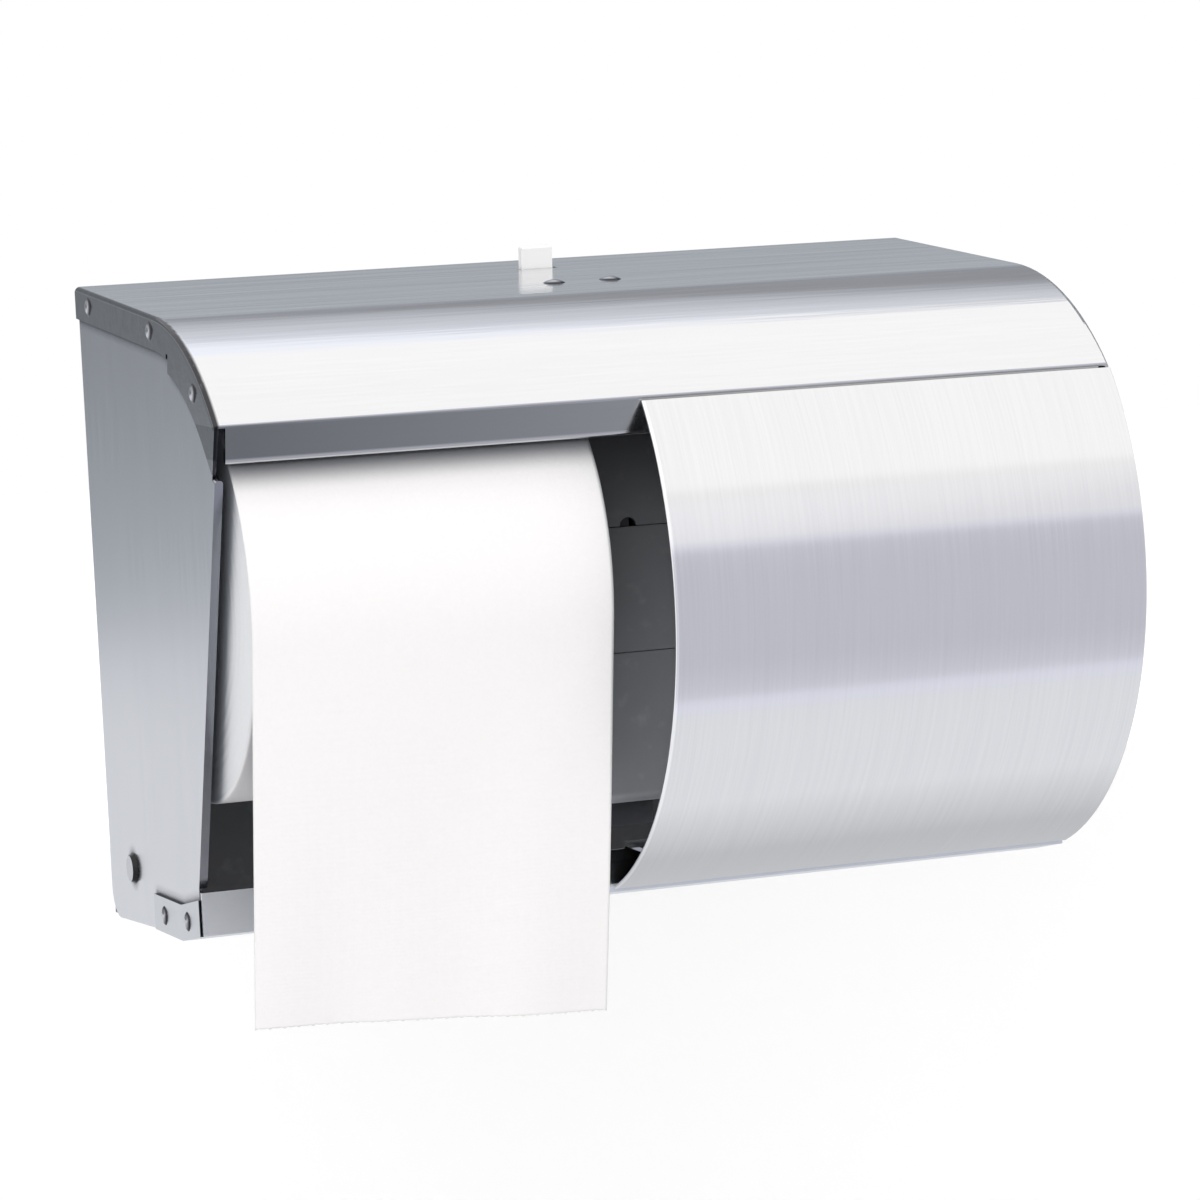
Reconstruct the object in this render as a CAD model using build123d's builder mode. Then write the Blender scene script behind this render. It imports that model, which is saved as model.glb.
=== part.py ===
from build123d import *
import math
import os

# Wall-mounted double roll tissue dispenser in folded stainless sheet.
# Millimetres. X runs along the wall, +Y points into the wall and +Z is up.
# The origin is the centre of the four wall screws, on the wall's surface.

# Folded housing, whose width follows from the rolls and what stands beside them
sheet = 0.9
rear_gap = 2.5
top_rear_height = 91.5
top_slope = 4.1
crown_start_depth = 87.0
lip_depth = 142.0
lip_height = 58.9
end_bend_radius = 1.7
flange_depth = 9.0
front_flange_depth = 12.5
flange_step_depth = 99.0
flange_tip_drop = 13.0
relief_width = 1.6
relief_depth = 5.0
rail_height = 10.8
rail_lean = 10.0
rail_hem = 4.0
rail_tuck = 0.27
rail_front_lap = 0.18
rail_rear_lap = 0.45
rail_edge_radius = 0.7

# Side panels
panel_seat_gap = 0.3
front_foot_depth = 98.5
front_foot_height = -68.5
panel_bottom_height = -90.0
panel_kink_depth = 82.0
panel_kink_height = -85.2
rear_corner_radius = 8.0
hem_width = 7.0
hem_thickness = 2.3
hem_edge_radius = 1.03

# Bottom rail
rail_front_depth = 102.0
rail_top_height = -69.2
rail_bottom_height = -81.0
rail_rear_lip = 5.0
rail_end_gap = 0.25
rail_corner_gap = 0.8
rail_corner_inset = 0.5
tab_height = 10.0
tab_rear_depth = 53.0
tab_rear_rise = 3.0

# Rivets that join the sheet metal
rivet_radius = 1.5
rivet_clearance = 0.05
rivet_head_radius = 2.7
rivet_head_height = 1.0
rivet_tail_radius = 2.2
rivet_tail_height = 0.7
hood_rivet_depths = (17.3, 82.6)
hood_rivet_inset = 4.2
hood_rivet_front_angle = 33.5
hood_rivet_front_inset = 6.3
rail_rivet_depths = (64.0, 88.0)

# Sliding door
door_radius = 89.4
door_centre_depth = 71.5
door_centre_height = 3.5
door_top_angle = 37.2
door_bottom_angle = -68.75
door_overlap = 10.4
door_end_inset = 0.05
door_edge_radius = 0.4
guide_width = 20.0
guide_inset = 5.0
guide_sheet = 1.2
guide_gap = 0.5
guide_hook = 6.5
guide_pad = 12.0

# Rolls and the loose end of paper
roll_radius = 57.0
roll_bore_radius = 6.5
roll_length = 100.0
roll_half_gap = 21.9
roll_end_gap = 0.8
roll_axis_depth = 89.9
roll_axis_height = 10.1
roll_edge_radius = 1.2
tail_thickness = 0.8
tail_gap = 0.3
tail_lean = 9.0
tail_wrap = 30.0
tail_bottom_height = -110.4
tail_slant = 8.0

# Wall plate
plate_thickness = 3.0
plate_half_width = 103.0
plate_top_height = 80.0
plate_bottom_height = -84.5
plate_corner_radius = 12.0
plate_rib_height = 4.0
plate_rib_width = 2.4
skirt_bottom_height = -89.5
skirt_thickness = 1.5
wall_hole_radius = 2.75
wall_hole_spacing_x = 150.0
wall_hole_spacing_z = 90.0

# Housing hinge
hinge_depth = 29.0
hinge_height = -72.5
hinge_pin_radius = 2.5
hinge_clearance = 0.05
hinge_head_radius = 4.4
hinge_head_height = 1.3
hinge_head_taper = 30.0
hinge_flare_radius = 3.6
hinge_flare_height = 1.2
ear_thickness = 3.0
ear_gap = 0.3
ear_radius = 9.0
ear_web_height = 24.0

# Roll arms
arm_thickness = 3.0
arm_panel_gap = 0.75
arm_half_height = 28.0
arm_tip_radius = 13.0
arm_foot_depth = 9.0
arm_foot_inner = 84.0
peg_length = 13.0
peg_clearance = 0.08
peg_edge_radius = 2.0

# Screws that hold the arms, the post and the strike
screw_radius = 1.75
screw_clearance = 0.1
screw_head_radius = 3.4
screw_head_height = 2.0
arm_screw_x = 94.0
arm_screw_half_spacing = 17.0

# Centre post
post_half_width = 20.0
post_wall = 2.5
post_front_depth = 100.0
post_top_height = 49.0
post_bottom_height = -57.0
post_foot_drop = 8.0
post_foot_recess = 12.0
post_edge_radius = 3.0
post_web = 2.4
post_boss_radius = 5.0
post_boss_length = 22.0
post_screw_heights = (-38.0, 34.0)
cover_top_height = 20.2
cover_bottom_height = -15.0
cover_half_width = 16.0
cover_gap = 0.25
cover_leg_length = 9.0
cover_leg_height = 13.0
cover_leg_thickness = 1.6
pry_notch_radius = 2.4

# Sprung plungers in the post
plunger_reach = 10.0
plunger_tip_radius = 2.4
plunger_collar_radius = 7.3
plunger_collar_length = 2.0
plunger_collar_gap = 0.2
plunger_bore_radius = 4.7
plunger_bore_depth = 8.0
spring_radius = 3.7
spring_wire_radius = 0.45
spring_turns = 5
spring_end_gap = 0.2

# Lock under the hood, in distances along the hood's slope from the wall
lock_offset = 2.7
slot_depth = 26.0
slot_length = 12.4
slot_width = 3.4
key_width = 9.4
key_thickness = 2.6
key_rise = 6.6
key_gap = 0.25
key_edge_radius = 0.8
lock_rivet_depth = 65.0
lock_rivet_half_spacing = 8.4
lock_rivet_head_radius = 3.2
bracket_half_width = 15.0
bracket_sheet = 1.2
bracket_front_depth = 74.0
bracket_rear_depth = 44.0
latch_pin_depth = 50.0
latch_pin_drop = 6.0
latch_pin_radius = 1.5
latch_pin_clearance = 0.05
latch_pin_head_radius = 2.4
latch_pin_head_height = 0.8
ear_side_gap = 0.3
lever_barrel_radius = 3.2
lever_sheet = 1.5
lever_drop = 8.0
lever_half_width = 9.0
hook_depth = 12.5
hook_thickness = 2.0
hook_rise = 3.2
leaf_sheet = 0.6
leaf_half_width = 4.0
leaf_gap = 0.3
leaf_front_depth = 73.0
leaf_bend_depth = 60.0
leaf_knee_depth = 55.5
leaf_rear_depth = 35.0
catch_sheet = 1.5
catch_half_width = 13.0
catch_reach = 16.5
catch_hood_gap = 0.8
catch_lip_drop = 3.4
catch_post_gap = 7.0
catch_window_gap = 0.8
catch_screw_half_spacing = 7.0
catch_screw_rise = 12.0

# Sizes that follow from the ones above
slope = math.radians(top_slope)
housing_width = 2 * (roll_half_gap + roll_length + roll_end_gap + arm_thickness + arm_panel_gap + 2 * sheet)
half_width = housing_width / 2
panel_face = half_width - sheet
panel_inner = panel_face - sheet
chord_run = lip_depth - crown_start_depth
chord_fall = top_rear_height - crown_start_depth * math.tan(slope) - lip_height
crown_turn = 2 * (math.atan2(chord_fall, chord_run) - slope)
crown_radius = math.hypot(chord_run, chord_fall) / (2 * math.sin(crown_turn / 2))
lip_angle = slope + crown_turn
crown_centre_y = -crown_start_depth + crown_radius * math.sin(slope)
crown_centre_z = top_rear_height - crown_start_depth * math.tan(slope) - crown_radius * math.cos(slope)
hood_plane = Plane(
    origin=(lock_offset, 0, top_rear_height - sheet / math.cos(slope)),
    x_dir=(1, 0, 0),
    z_dir=(0, -math.sin(slope), math.cos(slope)),
)
roll_end = roll_half_gap + roll_length
arm_outer = panel_inner - arm_panel_gap
arm_inner = arm_outer - arm_thickness
peg_radius = roll_bore_radius - peg_clearance
ear_outer = panel_inner - ear_gap
ear_inner = ear_outer - ear_thickness
door_left = -door_overlap
door_right = half_width - door_end_inset
door_width = door_right - door_left
post_wall_face = post_half_width - post_wall
strike_foot = post_top_height + catch_post_gap
tab_slope = (rail_bottom_height - panel_kink_height) / (rail_front_depth - panel_kink_depth)
tab_front_depth = rail_front_depth - sheet - rail_corner_gap

os.makedirs("parts", exist_ok=True)


def flat_point(depth, below):
    """Point under the hood's flat top, a distance from the wall and a distance below the surface."""
    return (-depth, top_rear_height - depth * math.tan(slope) - below / math.cos(slope))


def crown_point(angle, below):
    """Point under the hood's round front, at an angle from straight up and a distance below the surface."""
    radius = crown_radius - below
    return (crown_centre_y - radius * math.sin(angle), crown_centre_z + radius * math.cos(angle))


def crown_angle(depth, below):
    """Angle on the hood's round front at a distance from the wall."""
    return math.asin((crown_centre_y + depth) / (crown_radius - below))


def door_point(angle, inside):
    """Point on the door's section, at an angle above straight ahead and a distance inside its face."""
    turn = math.radians(angle)
    radius = door_radius - inside
    return (-door_centre_depth - radius * math.cos(turn), door_centre_height + radius * math.sin(turn))


def door_angle(height, inside):
    """Angle on the door's section at a height."""
    return math.degrees(math.asin((height - door_centre_height) / (door_radius - inside)))


def front_edge(height):
    """Point on the straight front edge of a side panel at a height."""
    share = (height - front_foot_height) / (lip_height - front_foot_height)
    return (-front_foot_depth - share * (lip_depth - front_foot_depth), height)


def crown_profile(below, rear):
    """Line and arc along the hood's top, from the rear to the lip, a distance below the surface."""
    top = Line(flat_point(rear, below), crown_point(slope, below))
    ThreePointArc(
        top @ 1,
        crown_point((slope + lip_angle) / 2, below),
        crown_point(lip_angle, below),
    )


def tab_floor(depth):
    """Height of a rail tab's lower edge at a distance from the wall."""
    if depth > panel_kink_depth:
        return panel_kink_height + (depth - panel_kink_depth) * tab_slope
    return panel_kink_height - (panel_kink_depth - depth) * tab_rear_rise / panel_kink_depth


def rivet(place, axis, grip, head_radius):
    """Domed rivet on an axis: the head above its place, the shank and tail below it."""
    dome_radius = (head_radius**2 + rivet_head_height**2) / (2 * rivet_head_height)
    dome_angle = math.degrees(math.asin(1 - rivet_head_height / dome_radius))
    with Locations(Plane(origin=place, z_dir=axis)):
        Cylinder(rivet_radius, grip + rivet_tail_height, align=(Align.CENTER, Align.CENTER, Align.MAX))
        Sphere(
            dome_radius,
            arc_size1=dome_angle,
            arc_size2=90,
            align=(Align.CENTER, Align.CENTER, Align.MIN),
        )
    with Locations(Plane(origin=place, z_dir=axis).offset(-grip)):
        Cylinder(rivet_tail_radius, rivet_tail_height, align=(Align.CENTER, Align.CENTER, Align.MAX))


def pan_screw(place, axis, length):
    """Pan-head screw on an axis: the head above its place and the shank below it."""
    with Locations(Plane(origin=place, z_dir=axis)):
        Cylinder(screw_radius, length, align=(Align.CENTER, Align.CENTER, Align.MAX))
        Cone(
            screw_head_radius,
            screw_head_radius - screw_head_height / 2,
            screw_head_height,
            align=(Align.CENTER, Align.CENTER, Align.MIN),
        )


def coil_points(start, length, turns, radius, side):
    """Quarter-turn points and directions of a coil along X that starts at start and runs to one side."""
    steps = turns * 4
    pitch = length / turns
    rise = pitch / (2 * math.pi * radius)
    for step in range(steps + 1):
        turn = step * math.pi / 2
        place = Vector(
            start + side * pitch * step / 4,
            -roll_axis_depth + radius * math.cos(turn),
            roll_axis_height + radius * math.sin(turn),
        )
        heading = Vector(side * rise, -math.sin(turn), math.cos(turn)).normalized()
        yield place, heading


def biarc(first, first_heading, last, last_heading):
    """Two tangent arcs that join two points with given directions."""
    span = last - first
    lean = 1 - first_heading.dot(last_heading)
    along = span.dot(first_heading + last_heading)
    reach = (math.sqrt(along**2 + 2 * lean * span.dot(span)) - along) / (2 * lean)
    middle = (first + last + (first_heading - last_heading) * reach) / 2
    arc = TangentArc(first, middle, tangent=first_heading)
    TangentArc(middle, last, tangent=arc % 1)


hood_rivet_places = [flat_point(depth, hood_rivet_inset) for depth in hood_rivet_depths]
hood_rivet_places.append(crown_point(math.radians(hood_rivet_front_angle), hood_rivet_front_inset))
tab_rear_height = tab_floor(tab_rear_depth)
rail_rivet_places = [(-depth, tab_floor(depth) + tab_height / 2) for depth in rail_rivet_depths]

# Hood: one sheet bent over the top, with a flange folded down each side and a rail along the front.
flange_tip = front_edge(lip_height - flange_tip_drop)
step_angle = crown_angle(flange_step_depth, flange_depth)
# The space under the hood, with its end edges rounded to the inside of the bends.
with BuildPart() as hood_hollow:
    with BuildSketch(Plane.YZ):
        with BuildLine():
            crown_profile(sheet, 0)
            Polyline(
                crown_point(lip_angle, sheet),
                (-lip_depth - flange_tip_drop, lip_height - flange_tip_drop),
                (-lip_depth, panel_bottom_height),
                (0, panel_bottom_height),
                flat_point(0, sheet),
            )
        make_face()
    extrude(amount=panel_face, both=True)
    inner_ends = hood_hollow.edges().filter_by(GeomType.CIRCLE)
    inner_tops = hood_hollow.edges().filter_by(GeomType.LINE).filter_by(
        lambda e: abs(e.center().X) > panel_inner and e.center().Z > crown_point(slope, 2 * sheet)[1]
    )
    fillet(inner_ends + inner_tops, end_bend_radius - sheet)

with BuildPart() as hood:
    with BuildSketch(Plane.YZ):
        with BuildLine():
            crown_profile(0, rear_gap)
            Line(crown_point(lip_angle, 0), flange_tip)
            Line(flange_tip, crown_point(lip_angle, front_flange_depth))
            ThreePointArc(
                crown_point(lip_angle, front_flange_depth),
                crown_point((lip_angle + step_angle) / 2, front_flange_depth),
                crown_point(step_angle, front_flange_depth),
            )
            Line(crown_point(step_angle, front_flange_depth), crown_point(step_angle, flange_depth))
            ThreePointArc(
                crown_point(step_angle, flange_depth),
                crown_point((slope + step_angle) / 2, flange_depth),
                crown_point(slope, flange_depth),
            )
            Polyline(
                crown_point(slope, flange_depth),
                flat_point(rear_gap, flange_depth),
                flat_point(rear_gap, 0),
            )
        make_face()
    extrude(amount=half_width, both=True)
    ends = hood.edges().filter_by(GeomType.CIRCLE).filter_by(lambda e: e.radius > crown_radius - sheet)
    tops = hood.edges().filter_by(GeomType.LINE).filter_by(
        lambda e: abs(e.center().X) > panel_face
        and e.length > front_flange_depth
        and e.center().Z > crown_point(slope, sheet)[1]
    )
    fillet(ends + tops, end_bend_radius)
    add(hood_hollow.part, mode=Mode.SUBTRACT)
    lean = math.radians(rail_lean)
    down = Vector(math.sin(lean), -math.cos(lean))
    back = Vector(math.cos(lean), math.sin(lean))
    rail_start = Vector(*crown_point(lip_angle, 0)) + back * rail_tuck
    rail_foot = rail_start + down * rail_height
    with BuildSketch(Plane.YZ):
        with BuildLine():
            Polyline(
                rail_start - down * rail_front_lap,
                rail_foot,
                rail_foot + back * 2 * sheet,
                rail_foot + back * 2 * sheet - down * rail_hem,
                rail_foot + back * sheet - down * rail_hem,
                rail_start + back * sheet - down * rail_rear_lap,
                close=True,
            )
        make_face()
    extrude(amount=panel_inner - hem_thickness + sheet, both=True)
    rail_edges = hood.edges().filter_by(Axis.X).filter_by(
        lambda e: e.center().Z < rail_foot.Y + sheet and e.length > panel_inner
    )
    fillet(rail_edges, rail_edge_radius)
    relief = Plane(
        origin=(0, *crown_point(step_angle, front_flange_depth)),
        x_dir=(0, math.cos(step_angle), math.sin(step_angle)),
        z_dir=(1, 0, 0),
    )
    with BuildSketch(relief):
        Rectangle(relief_width, 2 * relief_depth)
    extrude(amount=half_width, both=True, mode=Mode.SUBTRACT)
    with BuildSketch(Plane.YZ):
        with Locations(*hood_rivet_places):
            Circle(rivet_radius + rivet_clearance)
    extrude(amount=half_width, both=True, mode=Mode.SUBTRACT)
    with BuildSketch(hood_plane):
        with Locations((0, -slot_depth)):
            Rectangle(slot_length, slot_width)
        with Locations((0, -lock_rivet_depth)):
            with GridLocations(2 * lock_rivet_half_spacing, 0, 2, 1):
                Circle(rivet_radius + rivet_clearance)
    extrude(amount=2 * sheet, mode=Mode.SUBTRACT)
hood.part.label = "hood"
export_step(hood.part, "parts/hood.step")

# Side panels: flat sheet with a rolled hem along the front edge, inside the hood's flanges.
rail_front_floor = tab_floor(front_foot_depth) + sheet + panel_seat_gap
hem_top = Vector(*front_edge(lip_height - flange_tip_drop - 2 * sheet))
hem_foot = Vector(*front_edge(front_foot_height))
hem_line = hem_top - hem_foot
hem_inward = Vector(hem_line.Y, -hem_line.X).normalized()
for side, name in ((-1, "left_side_panel"), (1, "right_side_panel")):
    outer = Plane.YZ.offset(side * panel_face)
    with BuildPart() as panel:
        with BuildSketch(outer):
            with BuildLine():
                Polyline(
                    hem_foot,
                    hem_top,
                    hem_top + hem_inward * hem_width,
                    hem_foot + hem_inward * hem_width,
                    close=True,
                )
            make_face()
        extrude(amount=-side * hem_thickness)
        hem_edges = panel.edges().filter_by(lambda e: e.length > hem_width)
        fillet(hem_edges.group_by(Axis.Y)[0], hem_edge_radius)
        with BuildSketch(outer):
            with BuildLine():
                crown_profile(end_bend_radius + panel_seat_gap, rear_gap)
                Polyline(
                    crown_point(lip_angle, end_bend_radius + panel_seat_gap),
                    hem_top + hem_inward * hem_thickness,
                    hem_foot + hem_inward * hem_thickness,
                    (-front_foot_depth, front_foot_height),
                    (-front_foot_depth, rail_front_floor),
                    (-panel_kink_depth, panel_kink_height + sheet + panel_seat_gap),
                    (-tab_rear_depth, tab_rear_height),
                    (-rear_gap, panel_bottom_height),
                    flat_point(rear_gap, end_bend_radius + panel_seat_gap),
                )
            make_face()
            fillet(vertices().sort_by(Axis.Y)[0], rear_corner_radius)
        extrude(amount=-side * sheet)
        with BuildSketch(outer):
            with Locations(*hood_rivet_places, *rail_rivet_places):
                Circle(rivet_radius + rivet_clearance)
            with Locations((-hinge_depth, hinge_height)):
                Circle(hinge_pin_radius + hinge_clearance)
        extrude(amount=-side * sheet, mode=Mode.SUBTRACT)
    panel.part.label = name
    export_step(panel.part, f"parts/{name}.step")

# Bottom rail: a folded channel between the side panels, with a tab turned up outside each of them.
with BuildPart() as bottom_rail:
    with BuildSketch(Plane.YZ):
        with BuildLine():
            Polyline(
                (-rail_front_depth, rail_top_height),
                (-rail_front_depth, rail_bottom_height),
                (-panel_kink_depth, panel_kink_height),
                (-panel_kink_depth, panel_kink_height + rail_rear_lip),
                (-panel_kink_depth - sheet, panel_kink_height + rail_rear_lip),
                (-panel_kink_depth - sheet, panel_kink_height + sheet * (1 + tab_slope)),
                (-rail_front_depth + sheet, rail_bottom_height + sheet * (1 - tab_slope)),
                (-rail_front_depth + sheet, rail_top_height),
                close=True,
            )
        make_face()
    extrude(amount=panel_inner - rail_end_gap, both=True)
    with BuildSketch(Plane.YZ):
        with BuildLine():
            Polyline(
                (-rail_front_depth, rail_top_height),
                (-rail_front_depth, rail_bottom_height),
                (-rail_front_depth + sheet, tab_floor(rail_front_depth - sheet)),
                (-rail_front_depth + sheet, rail_top_height),
                close=True,
            )
        make_face()
    extrude(amount=half_width - rail_corner_inset, both=True)
    with BuildSketch(Plane.YZ):
        with BuildLine():
            Polyline(
                (-tab_front_depth, tab_floor(tab_front_depth)),
                (-panel_kink_depth, panel_kink_height),
                (-panel_kink_depth, panel_kink_height + sheet),
                (-tab_front_depth, tab_floor(tab_front_depth) + sheet),
                close=True,
            )
        make_face()
    extrude(amount=half_width, both=True)
    for side in (-1, 1):
        with BuildSketch(Plane.YZ.offset(side * panel_face)):
            with BuildLine():
                Polyline(
                    (-tab_front_depth, tab_floor(tab_front_depth)),
                    (-tab_front_depth, tab_floor(tab_front_depth) + tab_height),
                    (-panel_kink_depth, panel_kink_height + tab_height),
                    (-tab_rear_depth, tab_rear_height + tab_height),
                    (-tab_rear_depth, tab_rear_height),
                    (-panel_kink_depth, panel_kink_height),
                    close=True,
                )
            make_face()
        extrude(amount=side * sheet)
    with BuildSketch(Plane.YZ):
        with Locations(*rail_rivet_places):
            Circle(rivet_radius + rivet_clearance)
    extrude(amount=half_width, both=True, mode=Mode.SUBTRACT)
bottom_rail.part.label = "bottom_rail"
export_step(bottom_rail.part, "parts/bottom_rail.step")

# Rivets: three down each hood flange, two in each rail tab and two through the top for the lock.
with BuildPart() as hood_rivets:
    for side in (-1, 1):
        for y, z in hood_rivet_places:
            rivet((side * half_width, y, z), (side, 0, 0), 2 * sheet, rivet_head_radius)
hood_rivets.part.label = "hood_rivets"
export_step(hood_rivets.part, "parts/hood_rivets.step")

with BuildPart() as rail_rivets:
    for side in (-1, 1):
        for y, z in rail_rivet_places:
            rivet((side * half_width, y, z), (side, 0, 0), 2 * sheet, rivet_head_radius)
rail_rivets.part.label = "rail_rivets"
export_step(rail_rivets.part, "parts/rail_rivets.step")

with BuildPart() as lock_rivets:
    for side in (-1, 1):
        head_place = hood_plane.from_local_coords((side * lock_rivet_half_spacing, -lock_rivet_depth, sheet))
        rivet(head_place, hood_plane.z_dir, sheet + bracket_sheet + leaf_sheet, lock_rivet_head_radius)
lock_rivets.part.label = "lock_rivets"
export_step(lock_rivets.part, "parts/lock_rivets.step")

# Hinge pins: shouldered rivets through the side panels that turn in the wall plate's ears.
with BuildPart() as hinge_pins:
    for side in (-1, 1):
        head_plane = Plane(origin=(side * panel_face, -hinge_depth, hinge_height), z_dir=(side, 0, 0))
        with BuildSketch(head_plane):
            Circle(hinge_head_radius)
        extrude(amount=hinge_head_height, taper=hinge_head_taper)
        with BuildSketch(head_plane):
            Circle(hinge_pin_radius)
        extrude(amount=-(panel_face - ear_inner + hinge_clearance))
        with BuildSketch(head_plane.offset(-(panel_face - ear_inner + hinge_clearance))):
            Circle(hinge_flare_radius)
        extrude(amount=-hinge_flare_height)
hinge_pins.part.label = "hinge_pins"
export_step(hinge_pins.part, "parts/hinge_pins.step")

# Sliding door: a plain sheet rolled to an arc, wide enough to cover one roll and the middle.
with BuildPart() as door_panel:
    with BuildSketch(Plane.YZ.offset(door_left)):
        with BuildLine():
            middle_angle = (door_top_angle + door_bottom_angle) / 2
            ThreePointArc(
                door_point(door_top_angle, 0),
                door_point(middle_angle, 0),
                door_point(door_bottom_angle, 0),
            )
            Line(door_point(door_bottom_angle, 0), door_point(door_bottom_angle, sheet))
            ThreePointArc(
                door_point(door_bottom_angle, sheet),
                door_point(middle_angle, sheet),
                door_point(door_top_angle, sheet),
            )
            Line(door_point(door_top_angle, sheet), door_point(door_top_angle, 0))
        make_face()
    extrude(amount=door_width)
    fillet(door_panel.edges().filter_by(GeomType.CIRCLE), door_edge_radius)
door_panel.part.label = "door_panel"
export_step(door_panel.part, "parts/door_panel.step")

# Door guides: folded clips welded inside the door, hooked round the hood's rail and the bottom rail.
guide_starts = (door_left + guide_inset, door_right - guide_inset - guide_width)
upper_shelf = rail_foot.Y - guide_gap
upper_leg_rear = -rail_foot.X - 2 * sheet - guide_gap - guide_sheet
with BuildPart() as upper_guides:
    for start in guide_starts:
        with BuildSketch(Plane.YZ.offset(start)):
            with BuildLine():
                pad_angle = door_angle(upper_shelf, sheet)
                pad_end = pad_angle - math.degrees(guide_pad / door_radius)
                Polyline(
                    (-upper_leg_rear, upper_shelf - guide_sheet),
                    (-upper_leg_rear, upper_shelf + guide_hook),
                    (-upper_leg_rear - guide_sheet, upper_shelf + guide_hook),
                    (-upper_leg_rear - guide_sheet, upper_shelf),
                    door_point(pad_angle, sheet),
                )
                ThreePointArc(
                    door_point(pad_angle, sheet),
                    door_point((pad_angle + pad_end) / 2, sheet),
                    door_point(pad_end, sheet),
                )
                Line(door_point(pad_end, sheet), door_point(pad_end, sheet + guide_sheet))
                low_angle = door_angle(upper_shelf - guide_sheet, sheet + guide_sheet)
                ThreePointArc(
                    door_point(pad_end, sheet + guide_sheet),
                    door_point((pad_end + low_angle) / 2, sheet + guide_sheet),
                    door_point(low_angle, sheet + guide_sheet),
                )
                Line(door_point(low_angle, sheet + guide_sheet), (-upper_leg_rear, upper_shelf - guide_sheet))
            make_face()
        extrude(amount=guide_width)
upper_guides.part.label = "upper_guides"
export_step(upper_guides.part, "parts/upper_guides.step")

lower_shelf = rail_top_height + guide_gap
lower_leg_front = rail_front_depth - sheet - guide_gap
with BuildPart() as lower_guides:
    for start in guide_starts:
        with BuildSketch(Plane.YZ.offset(start)):
            with BuildLine():
                shelf_angle = door_angle(lower_shelf, sheet)
                crest_angle = door_angle(lower_shelf + guide_sheet, sheet + guide_sheet)
                pad_end = crest_angle + math.degrees(guide_pad / door_radius)
                Polyline(
                    (-lower_leg_front + guide_sheet, lower_shelf + guide_sheet),
                    (-lower_leg_front + guide_sheet, lower_shelf - guide_hook),
                    (-lower_leg_front, lower_shelf - guide_hook),
                    (-lower_leg_front, lower_shelf),
                    door_point(shelf_angle, sheet),
                )
                ThreePointArc(
                    door_point(shelf_angle, sheet),
                    door_point((shelf_angle + pad_end) / 2, sheet),
                    door_point(pad_end, sheet),
                )
                Line(door_point(pad_end, sheet), door_point(pad_end, sheet + guide_sheet))
                ThreePointArc(
                    door_point(pad_end, sheet + guide_sheet),
                    door_point((pad_end + crest_angle) / 2, sheet + guide_sheet),
                    door_point(crest_angle, sheet + guide_sheet),
                )
                Line(
                    door_point(crest_angle, sheet + guide_sheet),
                    (-lower_leg_front + guide_sheet, lower_shelf + guide_sheet),
                )
            make_face()
        extrude(amount=guide_width)
lower_guides.part.label = "lower_guides"
export_step(lower_guides.part, "parts/lower_guides.step")

# Paper rolls: wound without a core, each with a small hole for the peg and the plunger.
for side, name in ((-1, "left_roll"), (1, "right_roll")):
    with BuildPart() as roll:
        with BuildSketch(Plane.YZ.offset(side * roll_half_gap)):
            with Locations((-roll_axis_depth, roll_axis_height)):
                Circle(roll_radius)
                Circle(roll_bore_radius, mode=Mode.SUBTRACT)
        extrude(amount=side * roll_length)
        rims = roll.edges().filter_by(GeomType.CIRCLE).filter_by(lambda e: e.radius > 2 * roll_bore_radius)
        fillet(rims, roll_edge_radius)
    roll.part.label = name
    export_step(roll.part, f"parts/{name}.step")

# Paper tail: the loose end of the left roll, leaving its front and hanging back to a slanted tear.
tail_angle = math.radians(tail_lean)
tail_inner = roll_radius + tail_gap
tail_outer = tail_inner + tail_thickness


def tail_point(angle, radius):
    """Point on the paper wrapped round the left roll, at an angle below straight ahead."""
    return (-roll_axis_depth - radius * math.cos(angle), roll_axis_height - radius * math.sin(angle))


def tail_end(radius):
    """Point at the lower edge of the tail, on the straight run that leaves the roll."""
    y, z = tail_point(tail_angle, radius)
    run = (z - tail_bottom_height) / math.cos(tail_angle)
    return (y + run * math.sin(tail_angle), tail_bottom_height)


with BuildPart() as paper_tail:
    with BuildSketch(Plane.YZ.offset(-roll_end)):
        with BuildLine():
            wrap_start = tail_angle - math.radians(tail_wrap)
            ThreePointArc(
                tail_point(wrap_start, tail_inner),
                tail_point((wrap_start + tail_angle) / 2, tail_inner),
                tail_point(tail_angle, tail_inner),
            )
            Polyline(
                tail_point(tail_angle, tail_inner),
                tail_end(tail_inner),
                tail_end(tail_outer),
                tail_point(tail_angle, tail_outer),
            )
            ThreePointArc(
                tail_point(tail_angle, tail_outer),
                tail_point((wrap_start + tail_angle) / 2, tail_outer),
                tail_point(wrap_start, tail_outer),
            )
            Line(tail_point(wrap_start, tail_outer), tail_point(wrap_start, tail_inner))
        make_face()
    extrude(amount=roll_length)
    with BuildSketch(Plane.XZ):
        with BuildLine():
            Polyline(
                (-roll_end, tail_bottom_height),
                (-roll_end, tail_bottom_height + tail_slant),
                (-roll_end + roll_length, tail_bottom_height),
                close=True,
            )
        make_face()
    extrude(amount=lip_depth, mode=Mode.SUBTRACT)
paper_tail.part.label = "paper_tail"
export_step(paper_tail.part, "parts/paper_tail.step")

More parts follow.
